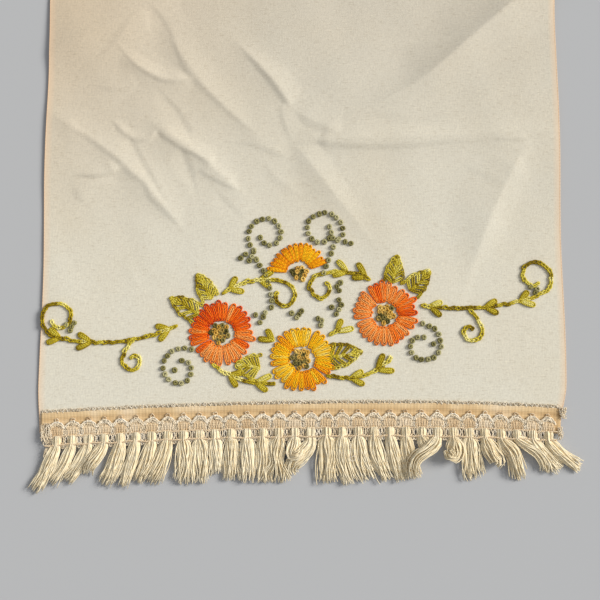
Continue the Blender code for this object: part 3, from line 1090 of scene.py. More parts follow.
# %% Outlined leaves
OUTLINE_LINK = 2.9
OUTLINE_WIDTH = 1.9
OUTLINE_THREAD = 0.46
VEIN_THREAD = 0.54
RIB_WIDTH = 1.7
RIB_SLANT = 0.24
BIG_LEAF_BOW = 2.0
VEIN_BOW = 0.4
RIB_STRAY = 0.3
RIB_SHADES = (0.1, 0.8)
BIG_LEAF_RIBS = 4
BigLeaf = namedtuple("BigLeaf", "name x up heading length width")
BIG_LEAVES = (
    BigLeaf("far left", -66, 69, 150, 21, 12),
    BigLeaf("upper left", -58, 79, 120, 18, 11),
    BigLeaf("lower left", -27, 35, 170, 15, 17),
    BigLeaf("lower right", 17, 42, 10, 21, 16),
    BigLeaf("upper right", 57, 89, 80, 18, 11),
    BigLeaf("far right", 68, 84, 45, 18, 13),
)


def bowed(start, end, bow):
    """Three points from start to end. A bow pushes the middle to the left of the way."""
    start, end = np.array(start, float), np.array(end, float)
    run = end - start
    beside = unit(np.array([-run[1], run[0]]))
    return np.array([start, (start + end) / 2.0 + beside * bow, end])


def add_big_leaf(work, leaf):
    """Two bowed sides, a vein and the slanting loops between them."""
    foot = np.array([leaf.x, leaf.up], float)
    ahead = pointing(leaf.heading)
    beside = np.array([ahead[1], -ahead[0]]) * leaf.width / 2.0
    tip = foot + ahead * leaf.length
    left_side = bowed(tip, foot + beside, BIG_LEAF_BOW)
    right_side = bowed(tip, foot - beside, -BIG_LEAF_BOW)
    for side in (left_side, right_side):
        add_chain(work, side, OUTLINE_LINK, OUTLINE_WIDTH, OUTLINE_THREAD)
    middle = bowed(tip, foot, VEIN_BOW)
    add_chain(work, middle, OUTLINE_LINK, OUTLINE_WIDTH * 0.8, VEIN_THREAD)
    vein = from_hem(through(middle))
    for side in (left_side, right_side):
        edge = from_hem(through(side))
        for rib in range(BIG_LEAF_RIBS):
            share = (rib + 1.0) / (BIG_LEAF_RIBS + 1.0)
            on_vein = vein[int((len(vein) - 1) * min(share + RIB_SLANT, 1.0))]
            on_edge = edge[int((len(edge) - 1) * share)]
            start = on_vein + stitch_dice.normal(0.0, RIB_STRAY, 2)
            add_loop(work, start, on_edge, RIB_WIDTH, VEIN_THREAD, stitch_dice.uniform(*RIB_SHADES), False)


for leaf in BIG_LEAVES:
    add_big_leaf(olive_work, leaf)
olive_piece = finish_work("embroidery_vines", olive_work, olive_perle, on_cloth)

# %% [markdown]
# ## Flowers
#
# Each flower is a ring of lazy daisy petals round a heap of knots. The petals are set out by angle, but
# a hand never spaces them evenly: some stand close and some leave a gap, and the shade changes every
# few petals as the skein runs on.

# %% Petals
PETAL_THREAD = 0.48
Flower = namedtuple("Flower", "name x up inner outer petals first sweep palest")
ORANGE_FLOWERS = (
    Flower("left", -51, 57, 8, 20, 27, 8.0, 360.0, 0.85),
    Flower("right", 52, 69, 8, 20, 27, -6.0, 360.0, 0.80),
)
GOLDEN_FLOWERS = (
    Flower("bottom", 0, 41, 8, 20, 28, 3.0, 360.0, 0.62),
    Flower("top fan", -2, 95, 8, 19, 15, 174.0, -152.0, 0.45),
)
PETAL_FILL = 0.96
PETAL_ROUNDING = 0.86
PETAL_TURN_STRAY = 0.9
PETAL_ROOT_STRAY = 0.35
PETAL_TIP_STRAY = 0.75
GAP_EVERY = 5
GAP_TURN = 3.2


def add_flower(work, flower):
    """A ring or fan of petals."""
    middle = from_hem([(flower.x, flower.up)])[0]
    step = flower.sweep / flower.petals
    shades = drifting(flower.petals, 0.1, flower.palest, 0.24)
    for index in range(flower.petals):
        pushed = GAP_TURN * ((index % GAP_EVERY) / (GAP_EVERY - 1.0) - 0.5)
        stray = stitch_dice.normal(0.0, PETAL_TURN_STRAY)
        turn = math.radians(flower.first + step * (index + 0.5) - pushed + stray)
        away = np.array([math.cos(turn), math.sin(turn)])
        root = middle + away * (flower.inner + stitch_dice.normal(0.0, PETAL_ROOT_STRAY))
        tip = middle + away * (flower.outer + stitch_dice.normal(0.0, PETAL_TIP_STRAY))
        width = abs(math.radians(step)) * flower.outer * PETAL_ROUNDING * PETAL_FILL
        add_loop(work, root, tip, width, PETAL_THREAD, shades[index])


orange_work = new_work()
for flower in ORANGE_FLOWERS:
    add_flower(orange_work, flower)
orange_piece = finish_work("embroidery_orange", orange_work, orange_floss, on_cloth)
golden_work = new_work()
for flower in GOLDEN_FLOWERS:
    add_flower(golden_work, flower)
golden_piece = finish_work("embroidery_golden", golden_work, golden_floss, on_cloth)

# %% Flower centres
HEAPS = (
    Heap(-52, 57, 11, 13, 18),
    Heap(52, 69, 11, 12, 17),
    Heap(-1, 41, 11, 13, 19),
    Heap(-2, 95, 11, 8, 12),
)

centre_work = new_work()
for heap in HEAPS:
    add_knots(centre_work, heap_places(heap), 1.0, (0.0, 1.0))
centre_piece = finish_work("embroidery_centres", centre_work, centre_floss, on_cloth)

# %% [markdown]
# ## The trim's own measure
#
# Braid and fringe follow the hem, which is bowed at one end and straight at the other. So both are made
# once, in a measure of their own: s runs along the edge and t outwards from it. A small function per
# end then sets the work against the cloth.

# %% Ends of the runner
TRIM_LEFT = -163.4
TRIM_RIGHT_NEAR = 161.0
TRIM_RIGHT_FAR = 163.4
TASSELS = 32
TASSEL_PITCH = 9.88
TASSEL_S = (np.arange(TASSELS) - (TASSELS - 1) / 2.0) * TASSEL_PITCH
BETWEEN_S = (TASSEL_S[:-1] + TASSEL_S[1:]) / 2.0


def at_near_end(points):
    """Sets trim work against the bowed near hem."""
    y = -HALF_LENGTH + hem_bow(points[:, 0]) - points[:, 1]
    return np.column_stack([points[:, 0], y, points[:, 2]])


def at_far_end(points):
    """Sets trim work against the straight far hem, turned half round."""
    return np.column_stack([-points[:, 0], HALF_LENGTH + points[:, 1], points[:, 2]])


print("tassels at each end:", TASSELS)

# %% [markdown]
# ## Gimp finishes
#
# The braid's ground is tan and a little pink in places, and its loops and cords are ivory. The tassels
# are plain cream yarn.

# %% Gimp and yarn finishes
TAN = ((0.0, (0.62, 0.43, 0.24)), (0.5, (0.80, 0.61, 0.38)), (1.0, (0.88, 0.74, 0.54)))
IVORY = ((0.0, (0.66, 0.49, 0.30)), (0.5, (0.84, 0.70, 0.49)), (1.0, (0.93, 0.84, 0.68)))
CREAM = ((0.0, (0.76, 0.61, 0.36)), (0.45, (0.87, 0.75, 0.51)), (1.0, (0.90, 0.81, 0.61)))
tan_cord = thread_finish("tan gimp cord", TAN, 1.3, 2, roughness=0.85, speckle=0.4, groove=0.1, relief=0.3)
ivory_cord = thread_finish("ivory gimp cord", IVORY, 1.2, 2, roughness=0.85, speckle=0.4, groove=0.2)
cream_yarn = thread_finish(
    "cream tassel yarn", CREAM, 5.0, 1, roughness=0.95, sheen=0.1, speckle=0.3, groove=0.05, relief=0.1
)
WARP_PITCH = 0.0011
PICK_PITCH = 0.0009
BAND_DEPTH = 0.00015
BAND_PATCHES = ((0.3, (0.70, 0.50, 0.27)), (0.5, (0.82, 0.62, 0.36)), (0.7, (0.90, 0.74, 0.52)))
# Painted shade: these stops darken the band's colour in the weave's grooves.
BAND_GROOVE_SHADE = ((0.0, (0.84, 0.82, 0.78)), (0.7, PLAIN))
BAND_ZONES = (
    (0.07, (1.06, 1.06, 1.07)),
    (0.20, (1.0, 0.97, 0.92)),
    (0.32, (0.86, 0.78, 0.68)),
    (0.42, (1.0, 0.95, 0.88)),
    (0.52, (0.86, 0.80, 0.72)),
)


def band_finish():
    """Tan woven band: warp ribs along it, with lighter and pinker patches, and painted shade in the weave's
    grooves.
    """
    made, tree, shader = new_finish("tan woven band", 0.88, 0.2)
    place = put(tree, "TexCoord").outputs["Object"]
    along, outwards = read_map(tree, "band")
    rib = work_out(tree, "MULTIPLY", sine_wave(tree, outwards, WARP_PITCH), 0.4)
    pick = work_out(tree, "MULTIPLY", sine_wave(tree, along, PICK_PITCH), 0.8)
    weave = work_out(tree, "ADD", rib, pick)
    colour = ramp(tree, noise(tree, place, 60.0, 4.0), BAND_PATCHES)
    zone = work_out(tree, "ADD", work_out(tree, "MULTIPLY", outwards, 60.0), 0.8)
    colour = times(tree, colour, ramp(tree, zone, BAND_ZONES))
    # Painted shade: the weave's grooves darken the colour.
    tree.links.new(times(tree, colour, ramp(tree, weave, BAND_GROOVE_SHADE)), shader.inputs["Base Color"])
    emboss(tree, shader, weave, 0.4, BAND_DEPTH)
    return made


tan_band = band_finish()
print("trim finishes: 4")

# %% [markdown]
# ## The woven band
#
# The band is a narrow strip of ribbed weave, sewn flat on the hem and standing a little past the edge.
# It is a fine grid, so its ribs can be real ridges.

# %% Woven band
BAND_INNER = -12.2
BAND_OUTER = 3.2
BAND_FOOT = 0.95
BAND_THICK = 0.55
BAND_STEP_S = 1.3
BAND_STEP_T = 0.55
BAND_RIB = 1.1
BAND_RIB_HEIGHT = 0.10
SEAM_T = -9.6


def make_band(name, right, settle):
    """A ribbed strip as a grid, given its thickness by a modifier."""
    s_places = np.linspace(TRIM_LEFT, right, round((right - TRIM_LEFT) / BAND_STEP_S))
    t_places = np.linspace(BAND_INNER, BAND_OUTER, round((BAND_OUTER - BAND_INNER) / BAND_STEP_T))
    s, t = np.meshgrid(s_places, t_places)
    uneven = 0.18 * np.sin(s * 0.21) + 0.12 * np.sin(s * 0.67 + 1.0)
    ribs = BAND_RIB_HEIGHT * np.sin(math.tau * t / BAND_RIB + 0.6 * np.sin(s * 1.9))
    seam = 0.22 * np.exp(-(((t - SEAM_T) / 0.5) ** 2))
    high = BAND_FOOT + ribs + seam + 0.06 * np.sin(s * 3.3)
    flat = np.stack([s, t + uneven, high], axis=-1).reshape(-1, 3)
    quads = grid_quads(*s.shape)[:, ::-1]
    band_map = flat[:, :2][quads.ravel()] * MM
    piece = new_piece(name, settle(flat), quads, tan_band, "band", band_map)
    thick = piece.modifiers.new("Solidify", "SOLIDIFY")
    thick.thickness = BAND_THICK * MM
    thick.offset = 1.0
    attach(piece, BODY)
    print(name, "faces:", len(quads))
    return piece


near_band = make_band("braid_near_band", TRIM_RIGHT_NEAR, at_near_end)
far_band = make_band("braid_far_band", TRIM_RIGHT_FAR, at_far_end)

# %% [markdown]
# ## Loops of the gimp
#
# Over the band lies the gimp's lacework in ivory cord. Small picots edge it on the inside. An arch of
# lumpy cord stands over each tassel with a little peak on top, and narrow upright loops fill the gaps
# between them. Each motif is one path, copied to every tassel with a little unevenness, as a braiding
# machine's threads shift when the braid is washed.

# %% Lace motifs
TRIM_FOOT = 1.75
ARCH_POINTS = 17
ARCH_ROUNDNESS = 0.55
trim_dice = np.random.default_rng(21)


def copies(motif, places, shake=0.16):
    """A motif's path set at each place along the edge. Every point is shaken a little."""
    motif = np.asarray(motif, float)
    paths = np.repeat(motif[None], len(places), axis=0)
    paths[:, :, 0] += np.asarray(places)[:, None]
    return paths + trim_dice.normal(0.0, shake, paths.shape) * (1.0, 1.0, 0.5)


def rounded(points, count):
    """A smooth path with a set number of points through a motif's few points."""
    line = through(points)
    run = run_along(line)
    places = np.linspace(0.0, run[-1], count)
    return np.column_stack([np.interp(places, run, line[:, axis]) for axis in range(3)])


def ring_of(middle_s, middle_t, half_s, half_t, high, count=13):
    """A closed-looking loop in the plane of the braid."""
    turn = np.linspace(0.0, math.tau * 1.04, count)
    s = middle_s + half_s * np.sin(turn)
    return np.column_stack([s, middle_t - half_t * np.cos(turn), high + 0.2 * np.cos(turn)])


def arch(half, foot_t, top_t, high):
    """Half a wave that rises over a tassel."""
    share = np.linspace(-1.0, 1.0, ARCH_POINTS)
    rise = np.cos(share * math.pi / 2.0) ** ARCH_ROUNDNESS
    return np.column_stack([share * half, foot_t + (top_t - foot_t) * rise, np.full(ARCH_POINTS, high)])


Strand = namedtuple("Strand", "inwards high thick palest")
ARCH_HALF = 4.9
ARCH_FOOT = -1.6
ARCH_TOP = -6.3
ARCH_STRANDS = (
    Strand(0.0, 0.45, 0.50, 1.0),
    Strand(0.85, 0.30, 0.55, 1.0),
    Strand(1.7, 0.45, 0.52, 0.8),
    Strand(2.5, 0.25, 0.42, 0.6),
)
PICOT = (
    (-1.5, -12.0, 1.3),
    (-1.3, -13.3, 1.45),
    (0.0, -14.1, 1.5),
    (1.3, -13.3, 1.45),
    (1.5, -12.0, 1.3),
)
PICOT_PITCH = TASSEL_PITCH / 3.0


def add_lace(work, tassel_s, between_s, left, right):
    """All of the ivory lacework of one braid."""
    def tones(places, low=0.45, high=1.0):
        return trim_dice.uniform(low, high, len(places))

    picots = np.arange(left + 2.0, right - 1.0, PICOT_PITCH)
    spin(work, copies(rounded(PICOT, 9), picots, 0.24), 0.30, 4, tones(picots, 0.6, 1.0))
    spin(work, copies(rounded(PICOT, 9), picots + PICOT_PITCH / 2.0, 0.3), 0.15, 4, tones(picots, 0.0, 0.6))
    peaks = np.asarray(tassel_s) + 3.0
    spin(work, copies(ring_of(0.0, -13.4, 1.1, 0.8, TRIM_FOOT - 0.2), peaks, 0.2), 0.26, 4, tones(peaks))
    for strand in ARCH_STRANDS:
        half = ARCH_HALF - strand.inwards * 0.4
        path = arch(half, ARCH_FOOT, ARCH_TOP + strand.inwards, TRIM_FOOT + strand.high)
        lumps = strand.thick * (1.0 + 0.25 * np.sin(np.arange(ARCH_POINTS) * 2.1 + strand.inwards))
        paths = copies(path, tassel_s, 0.22)
        spin(work, paths, lumps, 5, tones(tassel_s, strand.palest - 0.4, strand.palest))
    crown = copies(ring_of(0.0, -7.2, 1.3, 1.0, TRIM_FOOT + 0.3), tassel_s, 0.25)
    spin(work, crown, 0.30, 5, tones(tassel_s, 0.0, 0.6))
    for shift in (-1.25, 0.0, 1.25):
        paths = copies(ring_of(shift, -2.2, 0.7, 1.5, TRIM_FOOT + 0.4), between_s, 0.22)
        spin(work, paths, 0.38, 4, tones(between_s))
        paths = copies(ring_of(shift * 0.9, 0.9, 0.66, 1.6, TRIM_FOOT + 0.45), between_s, 0.22)
        spin(work, paths, 0.38, 4, tones(between_s))


print("arch height:", round(ARCH_FOOT - ARCH_TOP, 1), "mm")

# %% [markdown]
# ## Patches, necks and cords
#
# Between the arch and the tassel lies a small tan patch of side-by-side threads. Past the cloth's edge
# the tassel's yarns pass over an open row of upright loops, and a two-ply tan cord ties them in. Two
# strands that wind round each other make such a cord.

# %% Patches and ply cords
PATCH_THREADS = 8
PATCH_THICK = 0.56
PATCH_PLACES = ((5.6, -3.2, 1.7), (7.4, -1.6, 2.2), (8.2, 0.6, 2.2), (8.0, 2.4, 1.7))
CORD_INSET = 3.0
Ply = namedtuple("Ply", "inset t high reach pitch thick tones")
PLY_CORDS = (
    Ply(0.0, 2.7, 2.5, 0.26, 2.6, 0.26, (0.55, 0.95)),
    Ply(CORD_INSET, 7.9, 3.3, 0.34, 3.2, 0.32, (0.50, 0.90)),
)


def ply_cord(left, right, middle_t, high, reach, pitch):
    """Two strands wound round each other along the edge."""
    s = np.arange(left, right, pitch / 7.0)
    turn = math.tau * s / pitch
    strands = []
    for start in (0.0, math.pi):
        t = middle_t + reach * np.cos(turn + start) + 0.28 * np.sin(s * 0.31) + 0.14 * np.sin(s * 0.83)
        strands.append(np.column_stack([s, t, high + reach * 0.8 * np.sin(turn + start)]))
    return np.stack(strands)


def add_patches(work, tassel_s):
    """Tan threads side by side above each tassel, narrower at the top."""
    pink = trim_dice.uniform(0.25, 0.95, len(tassel_s))
    for index in range(PATCH_THREADS):
        side = (index - (PATCH_THREADS - 1) / 2.0) / PATCH_THREADS
        path = rounded([(side * wide, t, high) for wide, t, high in PATCH_PLACES], 7)
        paths = copies(path, tassel_s, 0.08)
        tones = np.clip(pink + trim_dice.normal(0, 0.1, len(tassel_s)), 0, 1)
        spin(work, paths, PATCH_THICK, 4, tones)


def add_cords(work, left, right):
    """The thin tan line above the necks, and the cord that ties the tassels in."""
    for cord in PLY_CORDS:
        strands = ply_cord(left + cord.inset, right - cord.inset, cord.t, cord.high, cord.reach, cord.pitch)
        spin(work, strands, cord.thick, 4, cord.tones)


def add_neck_loops(work, between_s):
    """Upright loops in the open row, and the small bumps that hang under the tying cord."""
    for side in (-1.0, 1.0):
        upright = ring_of(side * 1.15, 5.2, 0.78, 2.4, 2.0)
        spin(work, copies(upright, between_s, 0.16), 0.44, 4, trim_dice.uniform(0.4, 1.0, len(between_s)))
        bump = ring_of(side * 0.9, 9.3, 0.8, 0.9, 1.9)
        spin(work, copies(bump, between_s, 0.16), 0.50, 4, trim_dice.uniform(0.6, 1.0, len(between_s)))


def make_braid_work(name, right, settle):
    """A braid's lacework and tan threads, as two pieces."""
    ends = (TASSEL_S > TRIM_LEFT + 3.0) & (TASSEL_S < right - 2.0)
    tassel_s = TASSEL_S[ends]
    lace = new_work()
    add_lace(lace, tassel_s, BETWEEN_S, TRIM_LEFT, right)
    add_neck_loops(lace, BETWEEN_S)
    lace_piece = finish_work(name + "_lace", lace, ivory_cord, settle)
    threads = new_work()
    add_patches(threads, tassel_s)
    add_cords(threads, TRIM_LEFT, right)
    return [lace_piece, finish_work(name + "_threads", threads, tan_cord, settle)]


near_braid = [near_band] + make_braid_work("braid_near", TRIM_RIGHT_NEAR, at_near_end)
far_braid = [far_band] + make_braid_work("braid_far", TRIM_RIGHT_FAR, at_far_end)
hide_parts("braid_near")
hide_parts("braid_far")

# %% [markdown]
# ## Tassels
#
# A tassel is a tuft of loose yarns, tied at the neck. Each is steered by a spine: a few places with a
# height and a half width. Every yarn keeps its own place in the tuft, gathers into a lock with its
# neighbours, wanders a little and ends where it was cut. The tuft swells below the neck and opens at
# the tip. Three thick core strands inside stand for the yarns that aren't seen. The near fringe is
# tousled, so its tassels lean, fold and cross as they have been pushed.

# %% Lean of each near tassel
Tassel = namedtuple("Tassel", "lean reach bow spread")
NEAR_TASSELS = (
    Tassel(-13.5, 29.5, -1.0, 7.0),
    Tassel(-13.0, 25.0, 0.0, 6.2),
    Tassel(-14.0, 23.5, 1.0, 6.2),
    Tassel(-9.5, 22.5, 1.5, 7.4),
    Tassel(-9.5, 27.5, 1.0, 7.4),
    Tassel(-8.0, 29.0, 0.0, 7.2),
    Tassel(-9.5, 26.5, 0.0, 7.4),
    Tassel(-10.0, 28.5, 0.5, 8.4),
    Tassel(-1.0, 29.0, 2.5, 9.0),
    Tassel(0.5, 29.0, 1.0, 10.0),
    Tassel(1.0, 23.0, 0.5, 8.0),
    Tassel(-1.0, 27.5, 0.5, 8.0),
    Tassel(0.5, 29.0, 0.5, 9.0),
    Tassel(0.0, 29.5, 0.0, 8.0),
    Tassel(-2.0, 30.0, 0.0, 9.0),
    Tassel(-3.5, 13.0, -0.5, 6.0),
    Tassel(-9.0, 25.5, 1.5, 8.4),
    Tassel(1.0, 30.5, -0.5, 10.0),
    Tassel(5.5, 31.0, -2.5, 9.2),
    Tassel(7.5, 28.5, -1.5, 9.0),
    Tassel(8.5, 29.0, -1.5, 8.2),
    Tassel(6.5, 29.5, 0.0, 7.4),
    Tassel(5.0, 28.0, 0.0, 7.6),
    Tassel(-0.5, 12.0, 0.0, 7.4),
    Tassel(-3.0, 11.5, -1.0, 7.6),
    Tassel(-2.5, 12.5, -1.0, 7.6),
    Tassel(3.5, 27.5, -1.0, 10.0),
    Tassel(6.5, 16.5, -1.0, 8.0),
    Tassel(11.5, 26.0, -1.5, 8.6),
    Tassel(17.0, 21.0, -0.5, 7.2),
    Tassel(17.5, 18.5, 0.5, 6.6),
    Tassel(20.0, 17.5, 1.0, 7.0),
)
print("near tassels:", len(NEAR_TASSELS))

# %% Tousled tassels
Way = namedtuple("Way", "aside t high half")
TOUSLED = {
    3: (
        Way(-1.5, 12.0, 2.4, 3.4),
        Way(-5.0, 18.0, 3.4, 3.6),
        Way(-8.5, 23.0, 3.2, 3.8),
        Way(-9.5, 27.5, 1.6, 4.2),
    ),
    14: (
        Way(-1.0, 13.0, 2.4, 4.6),
        Way(-1.5, 18.5, 2.6, 4.4),
        Way(-1.2, 23.5, 3.2, 3.1),
        Way(-1.6, 29.0, 2.4, 5.4),
        Way(-2.2, 36.5, 1.5, 7.4),
    ),
    15: (
        Way(-0.6, 12.0, 2.6, 3.6),
        Way(-2.4, 17.5, 3.4, 2.8),
        Way(-1.2, 20.5, 4.6, 2.4),
        Way(2.6, 18.6, 5.2, 2.3),
        Way(4.6, 15.0, 4.8, 1.9),
    ),
    16: (
        Way(0.0, 12.5, 2.4, 3.0),
        Way(-4.5, 18.0, 2.8, 3.6),
        Way(-10.0, 23.5, 2.8, 3.4),
        Way(-12.0, 28.5, 2.2, 2.8),
        Way(-10.2, 32.5, 1.5, 2.6),
    ),
    23: (
        Way(1.2, 11.0, 2.2, 3.4),
        Way(3.4, 14.5, 2.4, 3.2),
        Way(5.2, 18.8, 1.8, 3.0),
    ),
    24: (
        Way(-2.0, 12.0, 3.2, 3.4),
        Way(-7.5, 16.5, 4.4, 3.0),
        Way(-13.5, 21.0, 4.6, 2.8),
        Way(-15.8, 27.5, 4.2, 2.8),
        Way(-14.6, 34.0, 3.2, 3.0),
    ),
    25: (
        Way(0.6, 12.5, 2.6, 3.8),
        Way(1.0, 17.5, 3.6, 3.8),
        Way(-1.4, 19.4, 5.0, 3.4),
        Way(-3.4, 15.0, 5.6, 2.8),
    ),
    27: (
        Way(1.6, 12.5, 2.6, 3.8),
        Way(4.6, 18.0, 3.2, 3.6),
        Way(7.4, 22.6, 4.2, 3.2),
        Way(5.6, 24.8, 5.2, 2.4),
    ),
    28: (
        Way(2.0, 11.5, 2.6, 3.8),
        Way(6.0, 15.5, 3.4, 4.0),
        Way(8.6, 22.0, 3.0, 3.6),
        Way(11.8, 33.5, 1.5, 4.4),
    ),
    29: (
        Way(6.0, 11.5, 2.4, 3.2),
        Way(13.0, 15.5, 2.6, 3.2),
        Way(17.5, 21.5, 2.4, 3.4),
        Way(19.5, 28.5, 1.5, 3.6),
    ),
}
NECK = (Way(0.0, 2.4, 1.8, 2.6), Way(0.0, 5.2, 2.1, 2.8), Way(0.0, 7.8, 2.2, 2.5))
NECK_END = 8.2
BEND = 0.28
Belly = namedtuple("Belly", "share half high")
BELLY = (
    Belly(0.12, 0.56, 2.2),
    Belly(0.42, 0.60, 2.2),
    Belly(0.72, 0.60, 1.9),
    Belly(1.0, 0.66, 1.5),
)
TOUSLED_FULLNESS = 1.3


def tassel_spine(tassel, ways):
    """A tassel's finely stepped spine: place aside, t, height and half width."""
    if ways is None:
        pull = tassel.lean * BEND + tassel.bow
        ways = []
        for share, half, high in BELLY:
            aside = 2.0 * share * (1.0 - share) * pull + share**2 * tassel.lean
            ways.append(Way(aside, NECK_END + (tassel.reach - 1.2) * share, high, half * tassel.spread))
    else:
        ways = [way._replace(half=way.half * TOUSLED_FULLNESS) for way in ways]
    return through(NECK + tuple(ways))


print("tousled by hand:", len(TOUSLED))

# %% Yarns of a tassel
YARNS = 50
FAR_YARNS = 34
YARN_POINTS = 13
YARN_THICK = 0.38
LOCKS = 4
SWAY = 0.22
SWAY_FROM = 0.12
LOCK_FROM = 0.35
LOCK_PULL = 0.5
SHORTEST_YARN = 0.86
TUFT_RISE = (0.26, 0.42)
TUFT_SHADES = (0.45, 0.70)
YARN_SHADE_STRAY = 0.11
# Painted shade: the core strands inside the tuft are made darker.
CORE_SHADE = 0.8
CORE_PLACES = (-0.55, 0.0, 0.55)
CORE_SHARES = (0.0, 0.07, 0.16, 0.28, 0.42, 0.56, 0.70, 0.82)
CORE_THICK = (1.15, 1.25, 1.45, 1.55, 1.55, 1.4, 1.1, 0.5)
FLOOR_CLEARANCE = 0.32
yarn_dice = np.random.default_rng(5)


def tuft_places(count):
    """Each yarn's place in the tuft: across it and up it, both from -1 to 1."""
    turn = yarn_dice.uniform(0.0, math.tau, count)
    reach = np.sqrt(yarn_dice.uniform(0.0, 1.0, count))
    return reach * np.cos(turn), reach * np.sin(turn)


def along_spine(spine, shares):
    """The spine's place, height and half width, and the direction across it, at shares of its length."""
    run = run_along(spine[:, :2])
    run = run / run[-1]
    ahead = unit(np.gradient(spine[:, :2], axis=0))
    columns = (spine[:, 0], spine[:, 1], spine[:, 2], spine[:, 3], -ahead[:, 1], ahead[:, 0])
    return [np.interp(shares, run, column) for column in columns]


def yarn_paths(spine, count, loose):
    """The path of every yarn in a tassel."""
    across, up = tuft_places(count)
    lengths = yarn_dice.uniform(SHORTEST_YARN, 1.0, count) ** (0.7 + loose)
    shares = np.linspace(0.0, 1.0, YARN_POINTS) * lengths[:, None]
    aside, t, high, half, side_s, side_t = along_spine(spine, shares)
    lock = np.round((across + 1.0) / 2.0 * (LOCKS - 1)) / (LOCKS - 1) * 2.0 - 1.0
    pulled = ease((shares - LOCK_FROM) / (1.0 - LOCK_FROM)) * LOCK_PULL
    place = across[:, None] * (1.0 - pulled) + lock[:, None] * pulled
    phase = yarn_dice.uniform(0.0, math.tau, (count, 2))
    rate = yarn_dice.uniform(3.0, 8.0, (count, 1))
    place = place + SWAY * np.sin(shares * rate + phase[:, :1]) * ease((shares - SWAY_FROM) / 0.4)
    rise = TUFT_RISE[0] + TUFT_RISE[1] * np.sqrt(np.maximum(1.0 - place**2, 0.05))
    z = high * (1.0 + up[:, None] * rise) + 0.15 * np.sin(shares * 12.0 + phase[:, 1:])
    s = aside + side_s * place * half
    return np.stack([s, t + side_t * place * half, np.maximum(z, FLOOR_CLEARANCE)], axis=-1)


def core_paths(spine):
    """Three thick strands inside the tuft, which fill the space between its yarns."""
    shares = np.tile(CORE_SHARES, (len(CORE_PLACES), 1))
    aside, t, high, half, side_s, side_t = along_spine(spine, shares)
    place = np.array(CORE_PLACES)[:, None] * half
    z = np.maximum(high * 0.8, np.array(CORE_THICK) + 0.1)
    return np.stack([aside + side_s * place, t + side_t * place, z], axis=-1)


def add_tassel(work, middle, tassel, ways, count, loose):
    """Adds a tassel. Each yarn has its own shade, and the core strands are darker as painted shade inside
    the tuft.
    """
    spine = tassel_spine(tassel, ways)
    shade = yarn_dice.uniform(*TUFT_SHADES)
    core = core_paths(spine)
    core[:, :, 0] += middle
    # Painted shade: the core takes a darker tone than the yarns around it.
    spin(work, core, np.array(CORE_THICK), 6, shade * CORE_SHADE)
    paths = yarn_paths(spine, count, loose)
    paths[:, :, 0] += middle
    tones = np.clip(shade + yarn_dice.normal(0.0, YARN_SHADE_STRAY, count), 0.0, 1.0)[:, None]
    thick = YARN_THICK * math.sqrt(YARNS / count) * (1.0 - 0.25 * np.linspace(0.0, 1.0, YARN_POINTS) ** 4)
    spin(work, paths, thick, 4, tones)


def make_fringe(name, tassels, tousled, count, loose, settle):
    """All the tassels of one end, as one piece."""
    work = new_work()
    for index, tassel in enumerate(tassels):
        add_tassel(work, TASSEL_S[index], tassel, tousled.get(index), count, loose)
    return finish_work(name, work, cream_yarn, settle)


FAR_TASSELS = tuple(
    Tassel(0.5 * math.sin(1.7 * i), 28.0 + 1.4 * math.sin(2.3 * i + 1.0), 0.5 * math.sin(0.9 * i), 8.6)
    for i in range(TASSELS)
)
near_fringe = make_fringe("fringe_near_tassels", NEAR_TASSELS, TOUSLED, YARNS, 0.6, at_near_end)
far_fringe = make_fringe("fringe_far_tassels", FAR_TASSELS, {}, FAR_YARNS, 0.2, at_far_end)
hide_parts("fringe_near")
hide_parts("fringe_far")

# %% [markdown]
# ## Rolled edges and frayed ends
#
# The long sides are rolled narrowly and have taken a peach tint, which shows as a thin warm line. Where
# the braid was cut, its ends have frayed into a few tangled threads.

# %% Rolled edges
ROLL_THICK = 0.36
EDGE_STEP = 4.0
ROLL_LIFT = 0.55
PEACH_SHADES = ((0.0, (0.64, 0.34, 0.17)), (0.5, (0.80, 0.54, 0.33)), (1.0, (0.87, 0.69, 0.48)))
peach_roll = thread_finish("peach rolled edge", PEACH_SHADES, 2.0, 1, roughness=0.85, groove=0.2)


def edge_path(side):
    """The line of one long edge, on the folds."""
    along = np.arange(-HALF_LENGTH, HALF_LENGTH + 0.1, EDGE_STEP)
    x, y = on_table(np.full(along.shape, side * HALF_WIDTH), along)
    return np.column_stack([x, y, lift(x, y) + ROLL_LIFT])


roll_work = new_work()
spin(roll_work, np.stack([edge_path(-1.0), edge_path(1.0)]), ROLL_THICK, 6, 0.6)
rolled_edges = finish_work("rolled_edges", roll_work, peach_roll)

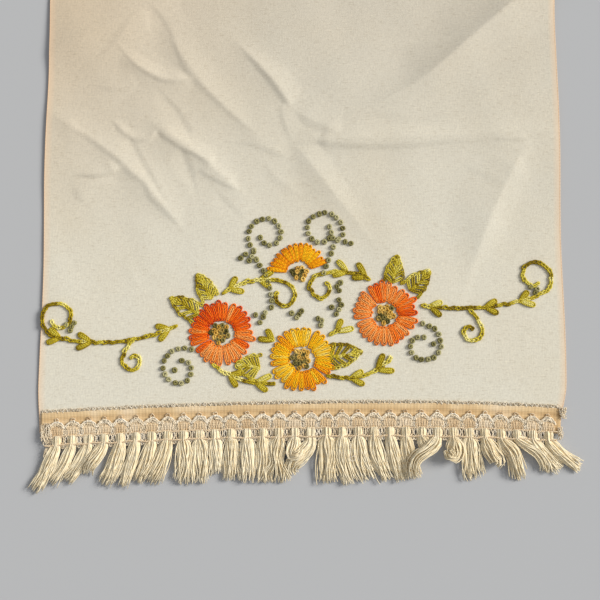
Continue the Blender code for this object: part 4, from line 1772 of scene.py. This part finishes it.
# %% Frayed ends
Fray = namedtuple("Fray", "s t reach_s reach_t threads")
FRAYS = (
    Fray(-159.5, 1.0, 3.4, 7.0, 26),
    Fray(-159.0, 12.0, 2.0, 3.0, 7),
    Fray(162.6, -9.5, 2.4, 3.6, 14),
    Fray(160.6, 3.0, 2.0, 4.5, 12),
)
FRAY_POINTS = 16
FRAY_THICK = 0.23


def tangle(fray):
    """Loose threads that wander about one place."""
    phase = trim_dice.uniform(0.0, math.tau, (fray.threads, 5))
    rate = trim_dice.uniform(1.5, 9.0, (fray.threads, 4))
    share = np.linspace(0.0, 1.0, FRAY_POINTS)
    wave = np.sin(share * rate[:, :, None] + phase[:, :4, None])
    s = fray.s + fray.reach_s * (0.55 * wave[:, 0] + 0.45 * wave[:, 1])
    t = fray.t + fray.reach_t * (0.6 * wave[:, 2] + 0.4 * wave[:, 3])
    z = 2.1 + 0.8 * np.sin(share * 6.0 + phase[:, 4:5])
    return np.stack([s, t, z], axis=-1)


HAIR_THICK = 0.25
HAIRS = (
    ((-80.6, 16.0, 1.6), (-79.6, 19.0, 1.0), (-77.5, 22.5, 0.7), (-74.4, 24.8, 0.9)),
    (
        (29.9, 12.5, 4.4), (29.3, 19.7, 4.4), (30.2, 23.2, 4.2),
        (32.4, 22.2, 4.4), (32.6, 19.8, 4.6), (30.2, 20.8, 4.5),
    ),
)

fray_work = new_work()
for fray in FRAYS:
    spin(fray_work, tangle(fray), FRAY_THICK, 4, trim_dice.uniform(0.4, 1.0, fray.threads))
for hair in HAIRS:
    spin(fray_work, through(hair), HAIR_THICK, 4, 1.0)
frayed_ends = finish_work("braid_near_frayed_ends", fray_work, ivory_cord, at_near_end)

# %% [markdown]
#
# The runner is one sheet of cloth, cut 330 by 940 mm, laid on the table. What is sewn to it goes with it.

# %% Sheet and sizes
SEWN_ON = [sage_piece, olive_piece, orange_piece, golden_piece, centre_piece, rolled_edges, frayed_ends]
SEWN_ON += near_braid + far_braid + [near_fringe, far_fringe]

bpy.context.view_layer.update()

shapes = bpy.context.evaluated_depsgraph_get()
total = 0
for piece in [cloth] + SEWN_ON:
    dressed = piece.evaluated_get(shapes).data
    dressed.calc_loop_triangles()
    total += len(dressed.loop_triangles)
print("triangles of all pieces:", total)
